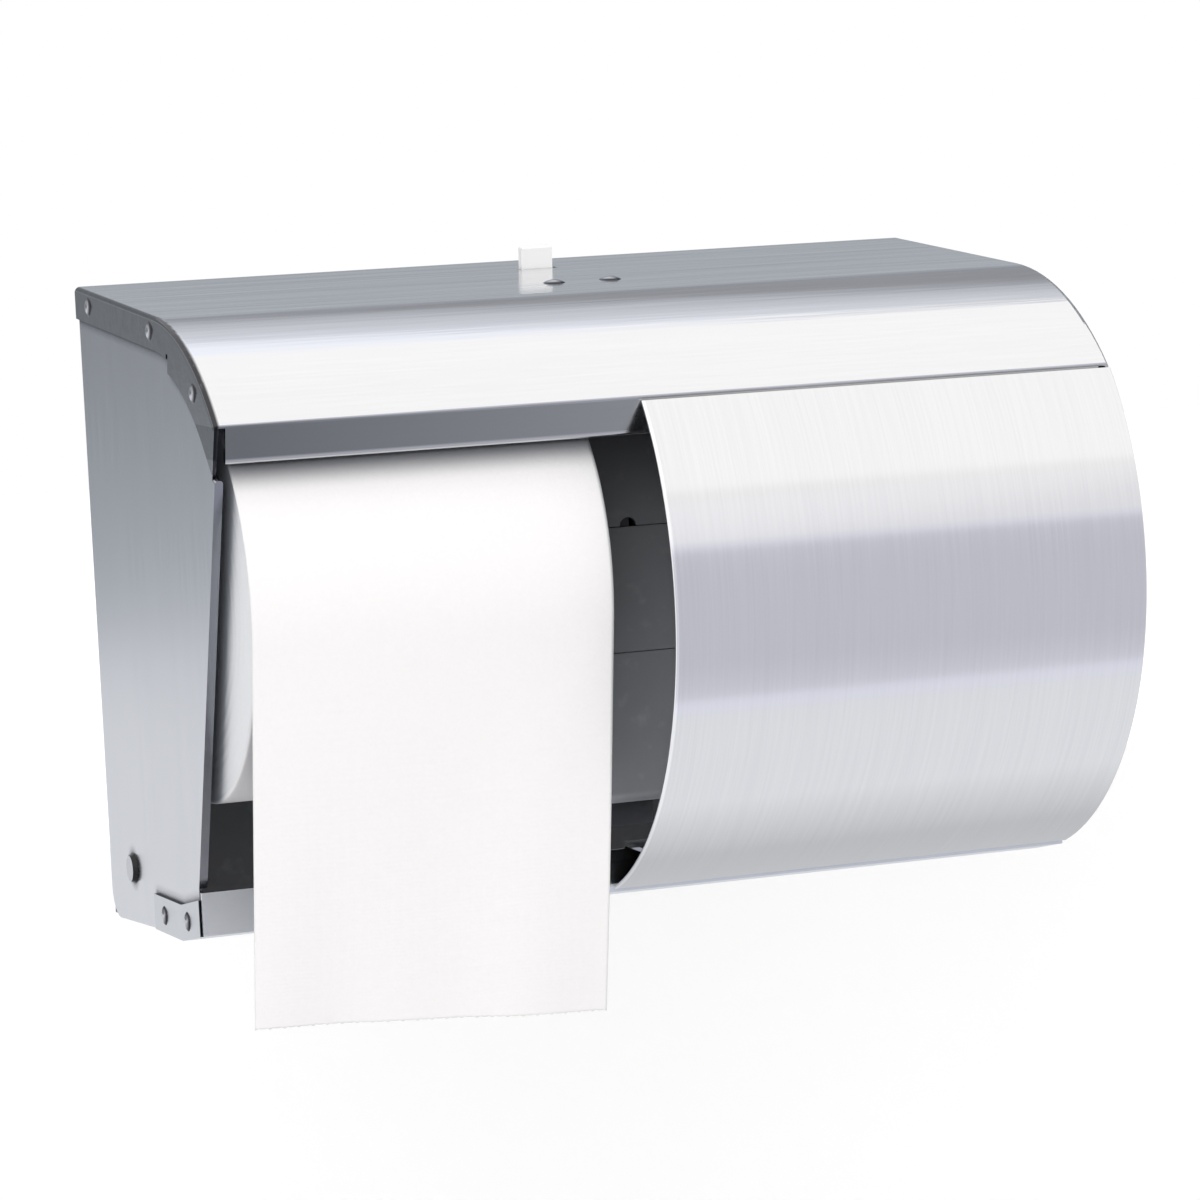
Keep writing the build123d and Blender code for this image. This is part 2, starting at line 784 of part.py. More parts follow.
# Wall plate: a moulded plate with ribs, four wall holes, and a thin skirt below with a hinge ear at each end.
with BuildPart() as back_plate:
    plate_height = plate_top_height - plate_bottom_height
    plate_middle = (plate_top_height + plate_bottom_height) / 2
    plate_front = Plane(origin=(0, -plate_thickness, 0), x_dir=(1, 0, 0), z_dir=(0, -1, 0))
    with BuildSketch(plate_front):
        with Locations((0, plate_middle)):
            RectangleRounded(2 * plate_half_width, plate_height, plate_corner_radius)
    extrude(amount=-plate_thickness)
    skirt_top_height = hinge_height + ear_web_height / 2
    with BuildSketch(plate_front.offset(-plate_thickness)):
        with Locations((0, (skirt_top_height + skirt_bottom_height) / 2)):
            Rectangle(2 * ear_outer, skirt_top_height - skirt_bottom_height)
    extrude(amount=skirt_thickness)
    with BuildSketch(plate_front):
        rib_x = post_half_width + 2 * plate_rib_width
        with GridLocations(2 * rib_x, 0, 2, 1):
            with Locations((0, plate_middle)):
                Rectangle(plate_rib_width, plate_height - 2 * plate_corner_radius)
    extrude(amount=plate_rib_height)
    for side in (-1, 1):
        with BuildSketch(Plane.YZ.offset(side * ear_outer)):
            with BuildLine():
                Polyline(
                    (0, hinge_height - ear_web_height / 2),
                    (0, hinge_height + ear_web_height / 2),
                    (-hinge_depth, hinge_height + ear_radius),
                )
                ThreePointArc(
                    (-hinge_depth, hinge_height + ear_radius),
                    (-hinge_depth - ear_radius, hinge_height),
                    (-hinge_depth, hinge_height - ear_radius),
                )
                Line(
                    (-hinge_depth, hinge_height - ear_radius),
                    (0, hinge_height - ear_web_height / 2),
                )
            make_face()
            with Locations((-hinge_depth, hinge_height)):
                Circle(hinge_pin_radius + hinge_clearance, mode=Mode.SUBTRACT)
        extrude(amount=-side * ear_thickness)
    with BuildSketch(plate_front):
        with GridLocations(wall_hole_spacing_x, wall_hole_spacing_z, 2, 2):
            Circle(wall_hole_radius)
        with Locations((0, roll_axis_height)):
            with GridLocations(2 * arm_screw_x, 2 * arm_screw_half_spacing, 2, 2):
                Circle(screw_radius + screw_clearance)
        with Locations(*[(0, height) for height in post_screw_heights]):
            Circle(screw_radius + screw_clearance)
        with Locations((lock_offset, strike_foot + catch_screw_rise)):
            with GridLocations(2 * catch_screw_half_spacing, 0, 2, 1):
                Circle(screw_radius + screw_clearance)
    extrude(amount=-plate_thickness, mode=Mode.SUBTRACT)
    with BuildSketch(Plane(origin=(0, 0, 0), x_dir=(1, 0, 0), z_dir=(0, -1, 0))):
        with Locations(*[(0, height) for height in post_screw_heights]):
            Circle(screw_head_radius + screw_clearance)
    extrude(amount=screw_head_height, mode=Mode.SUBTRACT)
back_plate.part.label = "back_plate"
export_step(back_plate.part, "parts/back_plate.step")

# Roll arms: moulded brackets screwed to the wall plate that reach forward past the outer roll ends.
for side, name in ((-1, "left_arm"), (1, "right_arm")):
    with BuildPart() as arm:
        with BuildSketch(Plane.XY.offset(roll_axis_height)):
            with BuildLine():
                Polyline(
                    (side * arm_foot_inner, -plate_thickness),
                    (side * arm_outer, -plate_thickness),
                    (side * arm_outer, -roll_axis_depth - arm_tip_radius),
                    (side * arm_inner, -roll_axis_depth - arm_tip_radius),
                    (side * arm_inner, -plate_thickness - arm_thickness),
                    (side * arm_foot_inner, -plate_thickness - arm_thickness),
                    close=True,
                )
            make_face()
        extrude(amount=arm_half_height, both=True)
        with BuildSketch(Plane.YZ):
            with BuildLine():
                Polyline(
                    (-plate_thickness, roll_axis_height - arm_half_height),
                    (-plate_thickness, roll_axis_height + arm_half_height),
                    (-plate_thickness - arm_foot_depth, roll_axis_height + arm_half_height),
                    (-roll_axis_depth, roll_axis_height + arm_tip_radius),
                )
                ThreePointArc(
                    (-roll_axis_depth, roll_axis_height + arm_tip_radius),
                    (-roll_axis_depth - arm_tip_radius, roll_axis_height),
                    (-roll_axis_depth, roll_axis_height - arm_tip_radius),
                )
                Polyline(
                    (-roll_axis_depth, roll_axis_height - arm_tip_radius),
                    (-plate_thickness - arm_foot_depth, roll_axis_height - arm_half_height),
                    (-plate_thickness, roll_axis_height - arm_half_height),
                )
            make_face()
        extrude(amount=half_width, both=True, mode=Mode.INTERSECT)
        with BuildSketch(Plane.YZ.offset(side * arm_inner)):
            with Locations((-roll_axis_depth, roll_axis_height)):
                Circle(peg_radius)
        extrude(amount=-side * peg_length)
        tip = arm.edges().filter_by(GeomType.CIRCLE).sort_by(lambda e: abs(e.center().X))[0]
        fillet(tip, peg_edge_radius)
        foot_front = Plane(origin=(0, -plate_thickness - arm_thickness, 0), x_dir=(1, 0, 0), z_dir=(0, -1, 0))
        with BuildSketch(foot_front):
            with Locations((side * arm_screw_x, roll_axis_height)):
                with GridLocations(0, 2 * arm_screw_half_spacing, 1, 2):
                    Circle(screw_radius + screw_clearance)
        extrude(amount=-arm_thickness, mode=Mode.SUBTRACT)
    arm.part.label = name
    export_step(arm.part, f"parts/{name}.step")

with BuildPart() as arm_screws:
    for side in (-1, 1):
        for step in (-1, 1):
            head_place = (
                side * arm_screw_x,
                -plate_thickness - arm_thickness,
                roll_axis_height + step * arm_screw_half_spacing,
            )
            pan_screw(head_place, (0, -1, 0), arm_thickness + plate_thickness)
arm_screws.part.label = "arm_screws"
export_step(arm_screws.part, "parts/arm_screws.step")

# Centre post: a hollow moulded column between the rolls, with a window for the plunger cover.
with BuildPart() as centre_post:
    post_height = post_top_height - post_bottom_height
    post_depth = post_front_depth - plate_thickness
    with BuildSketch(Plane.XY.offset(post_bottom_height)):
        with Locations((0, -plate_thickness - post_depth / 2)):
            Rectangle(2 * post_half_width, post_depth)
    extrude(amount=post_height)
    front_edges = centre_post.edges().group_by(Axis.Y)[0]
    fillet(front_edges, post_edge_radius)
    foot_depth = post_depth - post_foot_recess
    with BuildSketch(Plane.XY.offset(post_bottom_height)):
        with Locations((0, -plate_thickness - foot_depth / 2)):
            Rectangle(2 * (post_half_width - post_foot_recess), foot_depth)
    extrude(amount=-post_foot_drop)
    cell_width = post_wall_face - post_web / 2
    cell_depth = post_depth - post_wall
    with BuildSketch(Plane.XY.offset(post_bottom_height + post_wall)):
        with Locations((0, -plate_thickness - cell_depth / 2)):
            with GridLocations(cell_width + post_web, 0, 2, 1):
                Rectangle(cell_width, cell_depth)
    extrude(amount=post_height - 2 * post_wall, mode=Mode.SUBTRACT)
    post_back = Plane(origin=(0, -plate_thickness, 0), x_dir=(1, 0, 0), z_dir=(0, -1, 0))
    with BuildSketch(post_back):
        with Locations(*[(0, height) for height in post_screw_heights]):
            Circle(post_boss_radius)
    extrude(amount=post_boss_length)
    with BuildSketch(post_back):
        with Locations(*[(0, height) for height in post_screw_heights]):
            Circle(screw_radius + screw_clearance)
    extrude(amount=post_boss_length, mode=Mode.SUBTRACT)
    post_front = Plane(origin=(0, -post_front_depth, 0), x_dir=(1, 0, 0), z_dir=(0, -1, 0))
    with BuildSketch(post_front):
        with Locations((0, (cover_top_height + cover_bottom_height) / 2)):
            Rectangle(2 * cover_half_width, cover_top_height - cover_bottom_height)
        with Locations((0, cover_top_height)):
            Circle(pry_notch_radius)
    extrude(amount=-post_wall, mode=Mode.SUBTRACT)
    for side in (-1, 1):
        with BuildSketch(Plane.YZ.offset(side * post_half_width)):
            with Locations((-roll_axis_depth, roll_axis_height)):
                Circle(roll_bore_radius)
        extrude(amount=-side * post_wall, mode=Mode.SUBTRACT)
centre_post.part.label = "centre_post"
export_step(centre_post.part, "parts/centre_post.step")

with BuildPart() as post_screws:
    for height in post_screw_heights:
        pan_screw((0, -screw_head_height, height), (0, 1, 0), post_boss_length - screw_head_height)
post_screws.part.label = "post_screws"
export_step(post_screws.part, "parts/post_screws.step")

# Plunger cover: a snap-in plate that closes the post's window, with a leg behind each lower side.
with BuildPart() as plunger_cover:
    cover_width = cover_half_width - cover_gap
    with BuildSketch(post_front):
        with Locations((0, (cover_top_height + cover_bottom_height) / 2)):
            Rectangle(2 * cover_width, cover_top_height - cover_bottom_height - 2 * cover_gap)
    extrude(amount=-post_wall)
    with BuildSketch(post_front.offset(-post_wall)):
        leg_middle = cover_bottom_height + 2 * cover_gap + cover_leg_height / 2
        with Locations((0, leg_middle)):
            with GridLocations(2 * cover_width - cover_leg_thickness, 0, 2, 1):
                Rectangle(cover_leg_thickness, cover_leg_height)
    extrude(amount=-cover_leg_length)
plunger_cover.part.label = "plunger_cover"
export_step(plunger_cover.part, "parts/plunger_cover.step")

# Plungers and their springs: each nose stands in a roll's inner end and pushes back into the post.
plunger_tip = roll_half_gap + plunger_reach
collar_front = post_wall_face - plunger_collar_gap
collar_rear = collar_front - plunger_collar_length
for side, name in ((-1, "left_plunger"), (1, "right_plunger")):
    with BuildPart() as plunger:
        with BuildSketch(Plane.YZ.offset(side * plunger_tip)):
            with Locations((-roll_axis_depth, roll_axis_height)):
                Circle(peg_radius)
        extrude(amount=-side * (plunger_tip - collar_rear))
        nose = plunger.edges().filter_by(GeomType.CIRCLE).sort_by(lambda e: -abs(e.center().X))[0]
        fillet(nose, plunger_tip_radius)
        with BuildSketch(Plane.YZ.offset(side * collar_front)):
            with Locations((-roll_axis_depth, roll_axis_height)):
                Circle(plunger_collar_radius)
        extrude(amount=-side * plunger_collar_length)
        with BuildSketch(Plane.YZ.offset(side * collar_rear)):
            with Locations((-roll_axis_depth, roll_axis_height)):
                Circle(plunger_bore_radius)
        extrude(amount=side * plunger_bore_depth, mode=Mode.SUBTRACT)
    plunger.part.label = name
    export_step(plunger.part, f"parts/{name}.step")

coil_start = post_web / 2 + spring_end_gap + spring_wire_radius
coil_length = collar_rear + plunger_bore_depth - spring_end_gap - spring_wire_radius - coil_start
for side, name in ((-1, "left_plunger_spring"), (1, "right_plunger_spring")):
    stations = list(coil_points(side * coil_start, coil_length, spring_turns, spring_radius, side))
    with BuildPart() as spring:
        with BuildLine() as wire:
            for (first, first_heading), (last, last_heading) in zip(stations, stations[1:]):
                biarc(first, first_heading, last, last_heading)
        with BuildSketch(Plane(origin=stations[0][0], z_dir=stations[0][1])):
            Circle(spring_wire_radius)
        sweep(path=wire.line)
    spring.part.label = name
    export_step(spring.part, f"parts/{name}.step")
    turn_gap = min((stations[i + 4][0] - stations[i][0]).length for i in range(len(stations) - 4))
    print(name, "least gap between turns", round(turn_gap - 2 * spring_wire_radius, 2))

# Lock bracket: a folded plate riveted under the hood, with two ears for the latch pin.
lock_side = Plane(origin=hood_plane.origin, x_dir=hood_plane.y_dir, z_dir=(1, 0, 0))
pin_place = (-latch_pin_depth, -latch_pin_drop)
bracket_length = bracket_front_depth - bracket_rear_depth
ear_reach = latch_pin_drop + lever_barrel_radius
with BuildPart() as latch_bracket:
    with BuildSketch(hood_plane):
        with Locations((0, -bracket_rear_depth - bracket_length / 2)):
            Rectangle(2 * bracket_half_width, bracket_length)
        with GridLocations(2 * lock_rivet_half_spacing, 0, 2, 1):
            with Locations((0, -lock_rivet_depth)):
                Circle(rivet_radius + rivet_clearance, mode=Mode.SUBTRACT)
    extrude(amount=-bracket_sheet)
    for side in (-1, 1):
        with BuildSketch(lock_side.offset(side * bracket_half_width)):
            with BuildLine():
                Polyline(
                    (-bracket_rear_depth, 0),
                    (-2 * latch_pin_depth + bracket_rear_depth, 0),
                    (-2 * latch_pin_depth + bracket_rear_depth, -ear_reach),
                    (-bracket_rear_depth, -ear_reach),
                    close=True,
                )
            make_face()
            fillet(vertices().group_by(Axis.Y)[0], lever_barrel_radius)
            with Locations(pin_place):
                Circle(latch_pin_radius + latch_pin_clearance, mode=Mode.SUBTRACT)
        extrude(amount=-side * bracket_sheet)
latch_bracket.part.label = "latch_bracket"
export_step(latch_bracket.part, "parts/latch_bracket.step")

with BuildPart() as latch_pin:
    with BuildSketch(lock_side):
        with Locations(pin_place):
            Circle(latch_pin_radius)
    extrude(amount=bracket_half_width + latch_pin_head_height, both=True)
    for side in (-1, 1):
        with BuildSketch(lock_side.offset(side * bracket_half_width)):
            with Locations(pin_place):
                Circle(latch_pin_head_radius)
        extrude(amount=side * latch_pin_head_height)
latch_pin.part.label = "latch_pin"
export_step(latch_pin.part, "parts/latch_pin.step")

# Latch lever: a plate on a barrel round the pin, with a hook that stands up behind the strike's lip.
barrel_half_length = bracket_half_width - bracket_sheet - ear_side_gap
hook_rear = hook_depth - hook_thickness / 2
with BuildPart() as latch_lever:
    with BuildSketch(lock_side):
        with Locations(pin_place):
            Circle(lever_barrel_radius)
    extrude(amount=barrel_half_length, both=True)
    with BuildSketch(lock_side):
        with BuildLine():
            Polyline(
                (-latch_pin_depth, -lever_drop),
                (-hook_rear - hook_thickness, -lever_drop),
                (-hook_rear - hook_thickness, -lever_drop + hook_rise),
                (-hook_rear, -lever_drop + hook_rise),
                (-hook_rear, -lever_drop - lever_sheet),
                (-latch_pin_depth, -lever_drop - lever_sheet),
                close=True,
            )
        make_face()
    extrude(amount=lever_half_width, both=True)
    with BuildSketch(lock_side):
        with Locations(pin_place):
            Circle(latch_pin_radius + latch_pin_clearance)
    extrude(amount=bracket_half_width, both=True, mode=Mode.SUBTRACT)
latch_lever.part.label = "latch_lever"
export_step(latch_lever.part, "parts/latch_lever.step")

# Latch spring: a leaf under the bracket that bends down and reaches below the lever to lift it.
leaf_low = -lever_drop - lever_sheet - leaf_gap
with BuildPart() as latch_spring:
    with BuildSketch(lock_side):
        with BuildLine():
            Polyline(
                (-leaf_front_depth, -bracket_sheet),
                (-leaf_bend_depth, -bracket_sheet),
                (-leaf_knee_depth, leaf_low),
                (-leaf_rear_depth, leaf_low),
                (-leaf_rear_depth, leaf_low - leaf_sheet),
                (-leaf_knee_depth - leaf_sheet, leaf_low - leaf_sheet),
                (-leaf_bend_depth - leaf_sheet, -bracket_sheet - leaf_sheet),
                (-leaf_front_depth, -bracket_sheet - leaf_sheet),
                close=True,
            )
        make_face()
    extrude(amount=leaf_half_width, both=True)
    tab_length = leaf_front_depth - leaf_bend_depth - leaf_sheet
    with BuildSketch(hood_plane.offset(-bracket_sheet)):
        with Locations((0, -leaf_front_depth + tab_length / 2)):
            Rectangle(2 * (lock_rivet_half_spacing + rivet_head_radius), tab_length)
    extrude(amount=-leaf_sheet)
    with BuildSketch(hood_plane.offset(-bracket_sheet)):
        with GridLocations(2 * lock_rivet_half_spacing, 0, 2, 1):
            with Locations((0, -lock_rivet_depth)):
                Circle(rivet_radius + rivet_clearance)
    extrude(amount=-leaf_sheet, mode=Mode.SUBTRACT)
latch_spring.part.label = "latch_spring"
export_step(latch_spring.part, "parts/latch_spring.step")

# Lock key: a flat plastic blade through the hood's slot that holds the lever down.
with BuildPart() as lock_key:
    with BuildSketch(hood_plane.offset(-lever_drop + key_gap)):
        with Locations((0, -slot_depth)):
            Rectangle(key_width, key_thickness)
    extrude(amount=lever_drop - key_gap + sheet + key_rise)
    fillet(lock_key.faces().sort_by(Axis.Z)[-1].edges(), key_edge_radius)
lock_key.part.label = "lock_key"
export_step(lock_key.part, "parts/lock_key.step")

# Strike: a folded catch screwed to the top of the wall plate, with a lip in front of the latch's hook.
strike_top = flat_point(catch_reach, sheet)[1] - catch_hood_gap
strike_lip = flat_point(catch_reach, sheet)[1] - catch_lip_drop
strike_face = plate_thickness + catch_sheet
with BuildPart() as latch_strike:
    with BuildSketch(Plane.YZ.offset(lock_offset)):
        with BuildLine():
            Polyline(
                (-plate_thickness, strike_foot),
                (-plate_thickness, strike_top),
                (-catch_reach, strike_top),
                (-catch_reach, strike_lip),
                (-catch_reach + catch_sheet, strike_lip),
                (-catch_reach + catch_sheet, strike_top - catch_sheet),
                (-strike_face, strike_top - catch_sheet),
                (-strike_face, strike_foot),
                close=True,
            )
        make_face()
    extrude(amount=catch_half_width, both=True)
    window_front = -catch_reach + catch_sheet
    window_rear = -hook_rear + catch_window_gap
    with BuildSketch(Plane.XY.offset(strike_top)):
        with Locations((lock_offset, (window_front + window_rear) / 2)):
            Rectangle(2 * (lever_half_width + catch_window_gap), window_rear - window_front)
    extrude(amount=-catch_sheet, mode=Mode.SUBTRACT)
    with BuildSketch(plate_front.offset(catch_sheet)):
        with Locations((lock_offset, strike_foot + catch_screw_rise)):
            with GridLocations(2 * catch_screw_half_spacing, 0, 2, 1):
                Circle(screw_radius + screw_clearance)
    extrude(amount=-catch_sheet, mode=Mode.SUBTRACT)
latch_strike.part.label = "latch_strike"
export_step(latch_strike.part, "parts/latch_strike.step")

with BuildPart() as strike_screws:
    for side in (-1, 1):
        screw_x = lock_offset + side * catch_screw_half_spacing
        head_place = (screw_x, -strike_face, strike_foot + catch_screw_rise)
        pan_screw(head_place, (0, -1, 0), strike_face)
strike_screws.part.label = "strike_screws"
export_step(strike_screws.part, "parts/strike_screws.step")
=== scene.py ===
import bpy
import numpy as np
from mathutils import Matrix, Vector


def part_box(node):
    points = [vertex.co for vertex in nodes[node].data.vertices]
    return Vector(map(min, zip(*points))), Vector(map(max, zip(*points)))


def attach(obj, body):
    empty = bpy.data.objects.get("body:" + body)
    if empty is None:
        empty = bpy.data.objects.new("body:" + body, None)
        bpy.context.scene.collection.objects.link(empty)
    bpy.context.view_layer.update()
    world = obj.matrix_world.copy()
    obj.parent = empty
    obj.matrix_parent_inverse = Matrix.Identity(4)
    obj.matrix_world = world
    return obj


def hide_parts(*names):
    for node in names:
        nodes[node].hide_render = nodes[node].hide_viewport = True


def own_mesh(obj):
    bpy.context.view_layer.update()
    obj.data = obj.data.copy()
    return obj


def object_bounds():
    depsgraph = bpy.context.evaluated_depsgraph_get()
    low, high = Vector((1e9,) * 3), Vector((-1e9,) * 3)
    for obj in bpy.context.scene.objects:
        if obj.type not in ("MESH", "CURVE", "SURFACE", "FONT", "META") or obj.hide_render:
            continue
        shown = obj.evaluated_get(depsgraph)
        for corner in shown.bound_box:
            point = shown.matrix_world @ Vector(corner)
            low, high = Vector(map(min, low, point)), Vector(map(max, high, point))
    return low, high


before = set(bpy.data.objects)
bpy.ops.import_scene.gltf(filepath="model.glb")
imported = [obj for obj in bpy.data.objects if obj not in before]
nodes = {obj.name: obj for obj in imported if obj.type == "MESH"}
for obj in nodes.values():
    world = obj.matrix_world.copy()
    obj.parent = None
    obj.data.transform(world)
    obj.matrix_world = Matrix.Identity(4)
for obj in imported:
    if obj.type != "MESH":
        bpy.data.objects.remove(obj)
cad_low, cad_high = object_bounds()


# Wall carrier: the plate, the two roll arms, the centre post and its snap-in cover.
# They are moulded in dark grey plastic with a fine spark-eroded grain, a little paler where rubbed, and
# are screwed to each other behind the rolls.
mix_share, mix_first, mix_second, mix_result = 0, 6, 7, 2  # places of a colour Mix node's sockets


def put(tree, kind, sockets=None, **settings):
    """Adds a node to a tree, sets its options, and fills each named input with a value or a link."""
    node = tree.nodes.new(kind)
    for name, value in settings.items():
        setattr(node, name, value)
    for name, value in (sockets or {}).items():
        if isinstance(value, bpy.types.NodeSocket):
            tree.links.new(value, node.inputs[name])
        else:
            node.inputs[name].default_value = value
    return node


def maths(tree, operation, *values):
    """Result of one Math node on values or links."""
    return put(tree, "ShaderNodeMath", dict(enumerate(values)), operation=operation).outputs[0]


def ranged(tree, value, low, high, start, end):
    """Value carried linearly from the span start to end onto the span low to high, and held at its ends."""
    sockets = {"Value": value, "From Min": start, "From Max": end, "To Min": low, "To Max": high}
    return put(tree, "ShaderNodeMapRange", sockets).outputs["Result"]


def rising(tree, value, start, end):
    """Share that is 0 up to start and rises to 1 at end."""
    return ranged(tree, value, 0.0, 1.0, start, end)


def falling(tree, value, start, end):
    """Share that is 1 up to start and falls to 0 at end."""
    return ranged(tree, value, 1.0, 0.0, start, end)


def mixed(tree, share, first, second, blend="MIX"):
    """Colour that runs from first, a colour or a link, to second as share goes from 0 to 1."""
    first = first if isinstance(first, bpy.types.NodeSocket) else (*first, 1)
    sockets = {mix_share: share, mix_first: first, mix_second: (*second, 1)}
    return put(tree, "ShaderNodeMix", sockets, data_type="RGBA", blend_type=blend).outputs[mix_result]


def tinted(tree, share, colour, tint):
    """Colour carried towards its product with a tint as share goes from 0 to 1."""
    return mixed(tree, share, colour, tint, "MULTIPLY")


def axes(tree, vector):
    """The X, Y and Z parts of a vector."""
    return put(tree, "ShaderNodeSeparateXYZ", {"Vector": vector}).outputs


def noise(tree, vector, scale, detail, **others):
    """Noise value at a vector, with any other inputs of the node by name."""
    sockets = {"Vector": vector, "Scale": scale, "Detail": detail, **others}
    return put(tree, "ShaderNodeTexNoise", sockets).outputs["Fac"]


def bumped(tree, height, strength, distance):
    """Normal of a bump map from a height."""
    sockets = {"Height": height, "Strength": strength, "Distance": distance}
    return put(tree, "ShaderNodeBump", sockets).outputs["Normal"]


def wire(tree, node, outputs):
    """Links outputs to a node's inputs by name."""
    for name, output in outputs.items():
        tree.links.new(output, node.inputs[name])


def effect_group(name, outputs, inputs=("Vector",), kind="Vector"):
    """Empty shader node group with named inputs, all of one kind, and named value outputs.
    Returns the group, its inputs as seen from inside it and the node that takes its outputs."""
    tree = bpy.data.node_groups.new(name, "ShaderNodeTree")
    for socket in inputs:
        tree.interface.new_socket(socket, in_out="INPUT", socket_type="NodeSocket" + kind)
    for socket in outputs:
        tree.interface.new_socket(socket, in_out="OUTPUT", socket_type="NodeSocketFloat")
    return tree, tree.nodes.new("NodeGroupInput").outputs, tree.nodes.new("NodeGroupOutput")


def use_group(tree, group, **sockets):
    """Places a node group in a tree, fills its inputs by name and returns its outputs."""
    return put(tree, "ShaderNodeGroup", sockets, node_tree=group).outputs


def finish(name, **constants):
    """New material with the constants set on its Principled BSDF.
    Returns the material, its tree, the shader and the Object coordinates."""
    material = bpy.data.materials.new(name)
    material.use_nodes = True
    tree = material.node_tree
    shader = tree.nodes["Principled BSDF"]
    for socket, value in constants.items():
        shader.inputs[socket.replace("_", " ")].default_value = value
    return material, tree, shader, put(tree, "ShaderNodeTexCoord").outputs["Object"]


def dress(material, *names):
    """Puts one material on CAD nodes."""
    for name in names:
        nodes[name].data.materials.clear()
        nodes[name].data.materials.append(material)


moulded_grain, grain_in, grain_out = effect_group("moulded_grain", ("Height", "Mottle", "Rub"))
scuff = noise(moulded_grain, grain_in["Vector"], scale=190.0, detail=8.0)
wire(moulded_grain, grain_out, {
    "Height": noise(moulded_grain, grain_in["Vector"], scale=2600.0, detail=2.0),
    "Mottle": noise(moulded_grain, grain_in["Vector"], scale=38.0, detail=5.0),
    "Rub": rising(moulded_grain, scuff, 0.58, 0.74),
})


def moulded_plastic(name, dark, pale, smooth, rough, depth, shade=None):
    """Moulded plastic: mottled from dark to pale, rougher where rubbed, with a fine grain of one depth.
    The shade, where there is one, changes the colour by place."""
    material, tree, shader, place = finish(name, Specular_IOR_Level=0.45)
    grain = use_group(tree, moulded_grain, Vector=place)
    wear = maths(tree, "ADD", grain["Mottle"], grain["Rub"])
    colour = mixed(tree, rising(tree, wear, 0.3, 1.5), dark, pale)
    if shade:
        colour = shade(tree, place, colour)
    wire(tree, shader, {
        "Base Color": colour,
        "Roughness": ranged(tree, wear, low=smooth, high=rough, start=0.3, end=1.4),
        "Normal": bumped(tree, grain["Height"], strength=0.35, distance=depth),
    })
    return material


close_shade, shade_in, shade_out = effect_group(
    "close_shade", ("Share",), inputs=("Reach", "Closed", "Clear"), kind="Float"
)
open_view = put(close_shade, "ShaderNodeAmbientOcclusion", {"Distance": shade_in["Reach"]}, samples=8)
wire(close_shade, shade_out, {
    "Share": falling(close_shade, open_view.outputs["AO"], shade_in["Closed"], shade_in["Clear"]),
})


def shaded(tree, colour, reach, closed, clear, tint):
    """Colour tinted with painted shade where other pieces lie within reach: fully where the open share of
    the view from the surface is at or below closed, and not at all where it is at or above clear."""
    share = use_group(tree, close_shade, Reach=reach, Closed=closed, Clear=clear)["Share"]
    return tinted(tree, share, colour, tint)


post_top_height = 0.049
post_foot_height = -0.057
lit_edge_low, lit_edge_high = post_foot_height + 0.0022, post_foot_height + 0.0032
foot_line = 0.0002


def post_painted_light(tree, place, colour):
    """Post plastic by height: painted light that grows downwards, as if the post were lit from the front and
    below, a painted highlight on the rounded lower edge, painted shade on the foot under it, and painted
    shade where other pieces are close."""
    height = axes(tree, place)["Z"]
    painted_lift = falling(tree, height, post_foot_height, post_top_height)
    colour = tinted(tree, painted_lift, colour, (5.9, 5.9, 6.0))
    edge = falling(tree, height, lit_edge_low, lit_edge_high)
    colour = tinted(tree, edge, colour, (1.3, 1.3, 1.3))
    foot = falling(tree, height, post_foot_height - foot_line, post_foot_height + foot_line)
    colour = tinted(tree, foot, colour, (0.30, 0.30, 0.31))
    return shaded(tree, colour, reach=0.012, closed=0.2, clear=0.95, tint=(0.3, 0.3, 0.31))


# The plate and the arms get a much darker copy of the post's plastic: painted shade for where they lie deep
# behind the rolls.
carrier_shaded_plastic = moulded_plastic(
    "charcoal_plastic", dark=(0.030, 0.0305, 0.0325), pale=(0.050, 0.051, 0.054),
    smooth=0.42, rough=0.58, depth=0.00006,
)
dress(carrier_shaded_plastic, "back_plate", "left_arm", "right_arm")
# The post and its cover carry painted light, a painted highlight and painted shade by height.
post_finish = moulded_plastic(
    "post_plastic", dark=(0.090, 0.092, 0.097), pale=(0.113, 0.116, 0.122),
    smooth=0.32, rough=0.46, depth=0.00005, shade=post_painted_light,
)
dress(post_finish, "centre_post", "plunger_cover")


# Screws: pan-head screws of zinc-plated steel that hold the arms, the post and the strike to the plate.
# The plating is cloudy and a little pitted.
wipe_marks, wipe_in, wipe_out = effect_group("wipe_marks", ("Smear", "Speck"))
wiped = noise(wipe_marks, wipe_in["Vector"], scale=16.0, detail=6.0, Distortion=0.8)
pitted = noise(wipe_marks, wipe_in["Vector"], scale=420.0, detail=3.0)
wire(wipe_marks, wipe_out, {
    "Smear": rising(wipe_marks, wiped, 0.4, 0.75),
    "Speck": rising(wipe_marks, pitted, 0.66, 0.8),
})


def facing(tree):
    """Sizes of the X, Y and Z parts of the surface's normal."""
    normal = put(tree, "ShaderNodeTexCoord").outputs["Normal"]
    return axes(tree, put(tree, "ShaderNodeVectorMath", {0: normal}, operation="ABSOLUTE").outputs[0])


